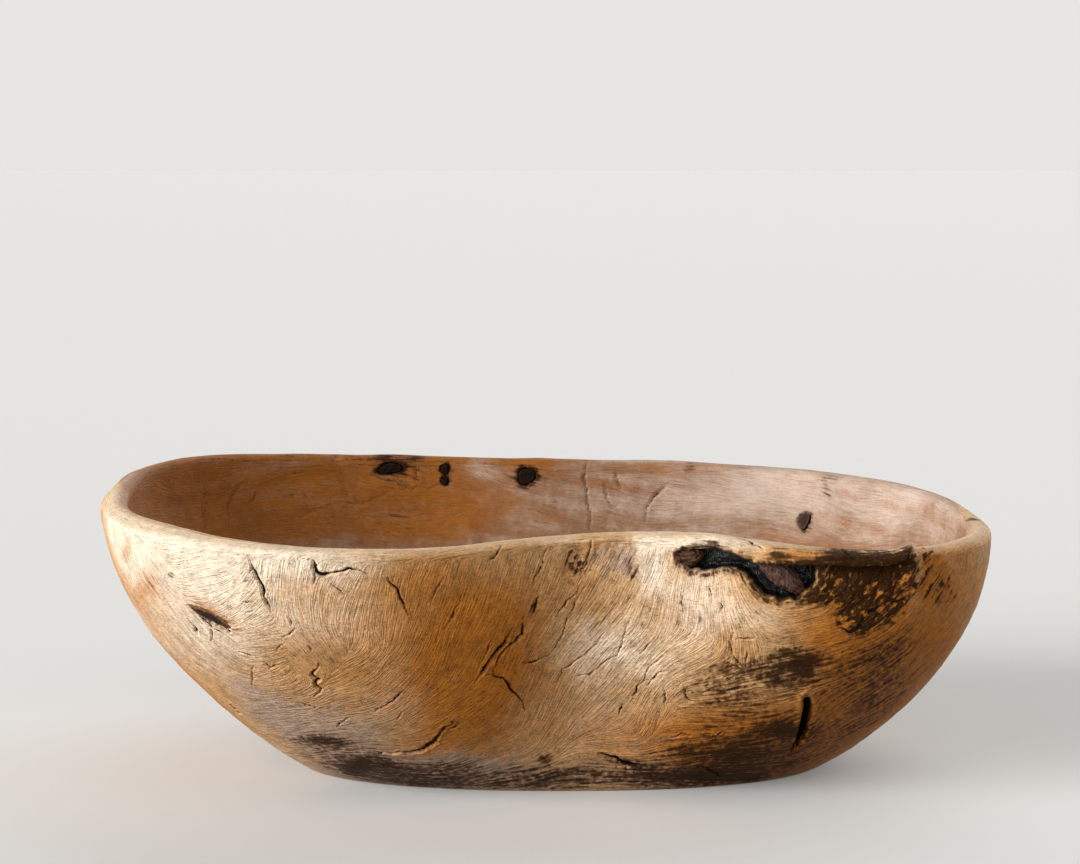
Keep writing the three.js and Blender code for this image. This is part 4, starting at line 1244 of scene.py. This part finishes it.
def lump_piece(name, lump, seed):
    turn, rise, sunk, half_length, half_width, half_depth, tilt = lump
    point, long_axis, short_axis, out = tilted_axes("outer", turn, rise, tilt)
    lean, around = np.meshgrid(
        np.linspace(np.pi, 0, LUMP_BANDS + 2)[1:-1],
        np.linspace(0, 2 * np.pi, LUMP_SPOKES, endpoint=False),
        indexing="ij",
    )
    ball = np.stack([np.cos(lean), np.sin(lean) * np.cos(around), np.sin(lean) * np.sin(around)], -1)
    shreds = rough_noise(ball * [2.0, 9.0, 9.0], 1.0, seed, 4)
    size = 1 + 0.17 * shreds + 0.12 * noise(ball * 2.0, 1.0, seed + 9)
    local = ball * size[..., None] * [half_length, half_width, half_depth]
    axes = np.array([long_axis, short_axis, out])
    middle = point - out * sunk
    tips = np.array([[-half_length, 0, 0], [half_length, 0, 0]])
    points = middle + np.concatenate([local.reshape(-1, 3), tips]) @ axes
    piece = make_mesh(name + "_lump", points, [
        grid_faces(LUMP_BANDS, LUMP_SPOKES), cap_faces(LUMP_BANDS, LUMP_SPOKES),
    ])
    # The sunk crevices of the lump are painted dark as the shade in them
    deep = step(-0.2, 0.9, -shreds)
    add_values(piece, "crack", np.concatenate([0.55 * deep.ravel(), [0.0, 0.0]]))
    return piece


for number, (name, lump) in enumerate(LUMPS.items()):
    settle(lump_piece(name, lump, SEED + 300 + 20 * number), name, LUMP_FINISH[name])

# Stage: pale floor that meets a pale surround, soft light from the left, camera
FLOOR_HALF, FLOOR_GAP = 30.0, 0.0002  # metres
FLOOR_SEEN = (0.70, 0.69, 0.675)
FLOOR_COLOUR = (0.16, 0.145, 0.135)  # what the bowl's underside is lit by
FLOOR_GLOW = (0.13, 0.13, 0.125)  # what is seen on top of the light that falls on the floor
SURROUND = (0.80, 0.79, 0.77)
FILL_STRENGTH = 0.16


def seen_directly(tree):
    """1 for what the camera sees, also in a reflection or through glass, and 0 for light on the bowl."""
    rays = tree.nodes.new("ShaderNodeLightPath").outputs
    camera_ray, glossy_ray, clear_ray = (
        Field(tree, rays[f"Is {kind} Ray"]) for kind in ("Camera", "Glossy", "Transmission")
    )
    return camera_ray.at_least(glossy_ray).at_least(clear_ray)


floor_mesh = bpy.data.meshes.new("floor")
floor_mesh.from_pydata(
    [(-FLOOR_HALF, -FLOOR_HALF, 0), (FLOOR_HALF, -FLOOR_HALF, 0), (FLOOR_HALF, FLOOR_HALF, 0),
     (-FLOOR_HALF, FLOOR_HALF, 0)], [], [(0, 1, 2, 3)],
)
floor = add_object("floor", floor_mesh)
floor.location.z = -FLOOR_GAP
floor_paint = Paint("floor")
floor_seen = seen_directly(floor_paint.tree)
floor_paint.set("Base Color", floor_paint.mixed(floor_seen, FLOOR_COLOUR, FLOOR_SEEN))
floor_paint.set("Roughness", 0.95)
floor_paint.set("Specular IOR Level", 0.1)
floor_paint.set("Emission Color", FLOOR_GLOW)
floor_paint.set("Emission Strength", floor_seen)
floor_mesh.materials.append(floor_paint.material)

world = bpy.data.worlds.new("surround")
bpy.context.scene.world = world
world.use_nodes = True
background = world.node_tree.nodes["Background"]
feed(world.node_tree, background.inputs["Color"], SURROUND)
surround_strength = seen_directly(world.node_tree).ranged(0.0, 1.0, FILL_STRENGTH, 1.0)
feed(world.node_tree, background.inputs["Strength"], surround_strength)


def add_lamp(name, way, energy, spread):
    """Far soft lamp; the way leads from the bowl to it, and the spread is its width in degrees."""
    lamp = bpy.data.lights.new(name, "SUN")
    lamp.energy = energy
    lamp.angle = math.radians(spread)
    add_object(name, lamp).rotation_euler = (-Vector(way)).to_track_quat("-Z", "Y").to_euler()


add_lamp("window", (-0.875, -0.43, 0.27), 4.0, 40)
add_lamp("room", (0.24, -0.96, 0.16), 1.25, 120)
add_lamp("far_window", (0.40, 0.84, 0.36), 2.2, 90)

camera_data = bpy.data.cameras.new("camera")
camera_data.lens = LENS
camera_data.sensor_width = SENSOR
camera = add_object("camera", camera_data)
camera.location = Vector(CAMERA_AT * MM)
camera.rotation_euler = (math.pi / 2 - CAMERA_PITCH, 0.0, 0.0)
bpy.context.scene.camera = camera

bpy.context.scene.view_settings.view_transform = "Standard"
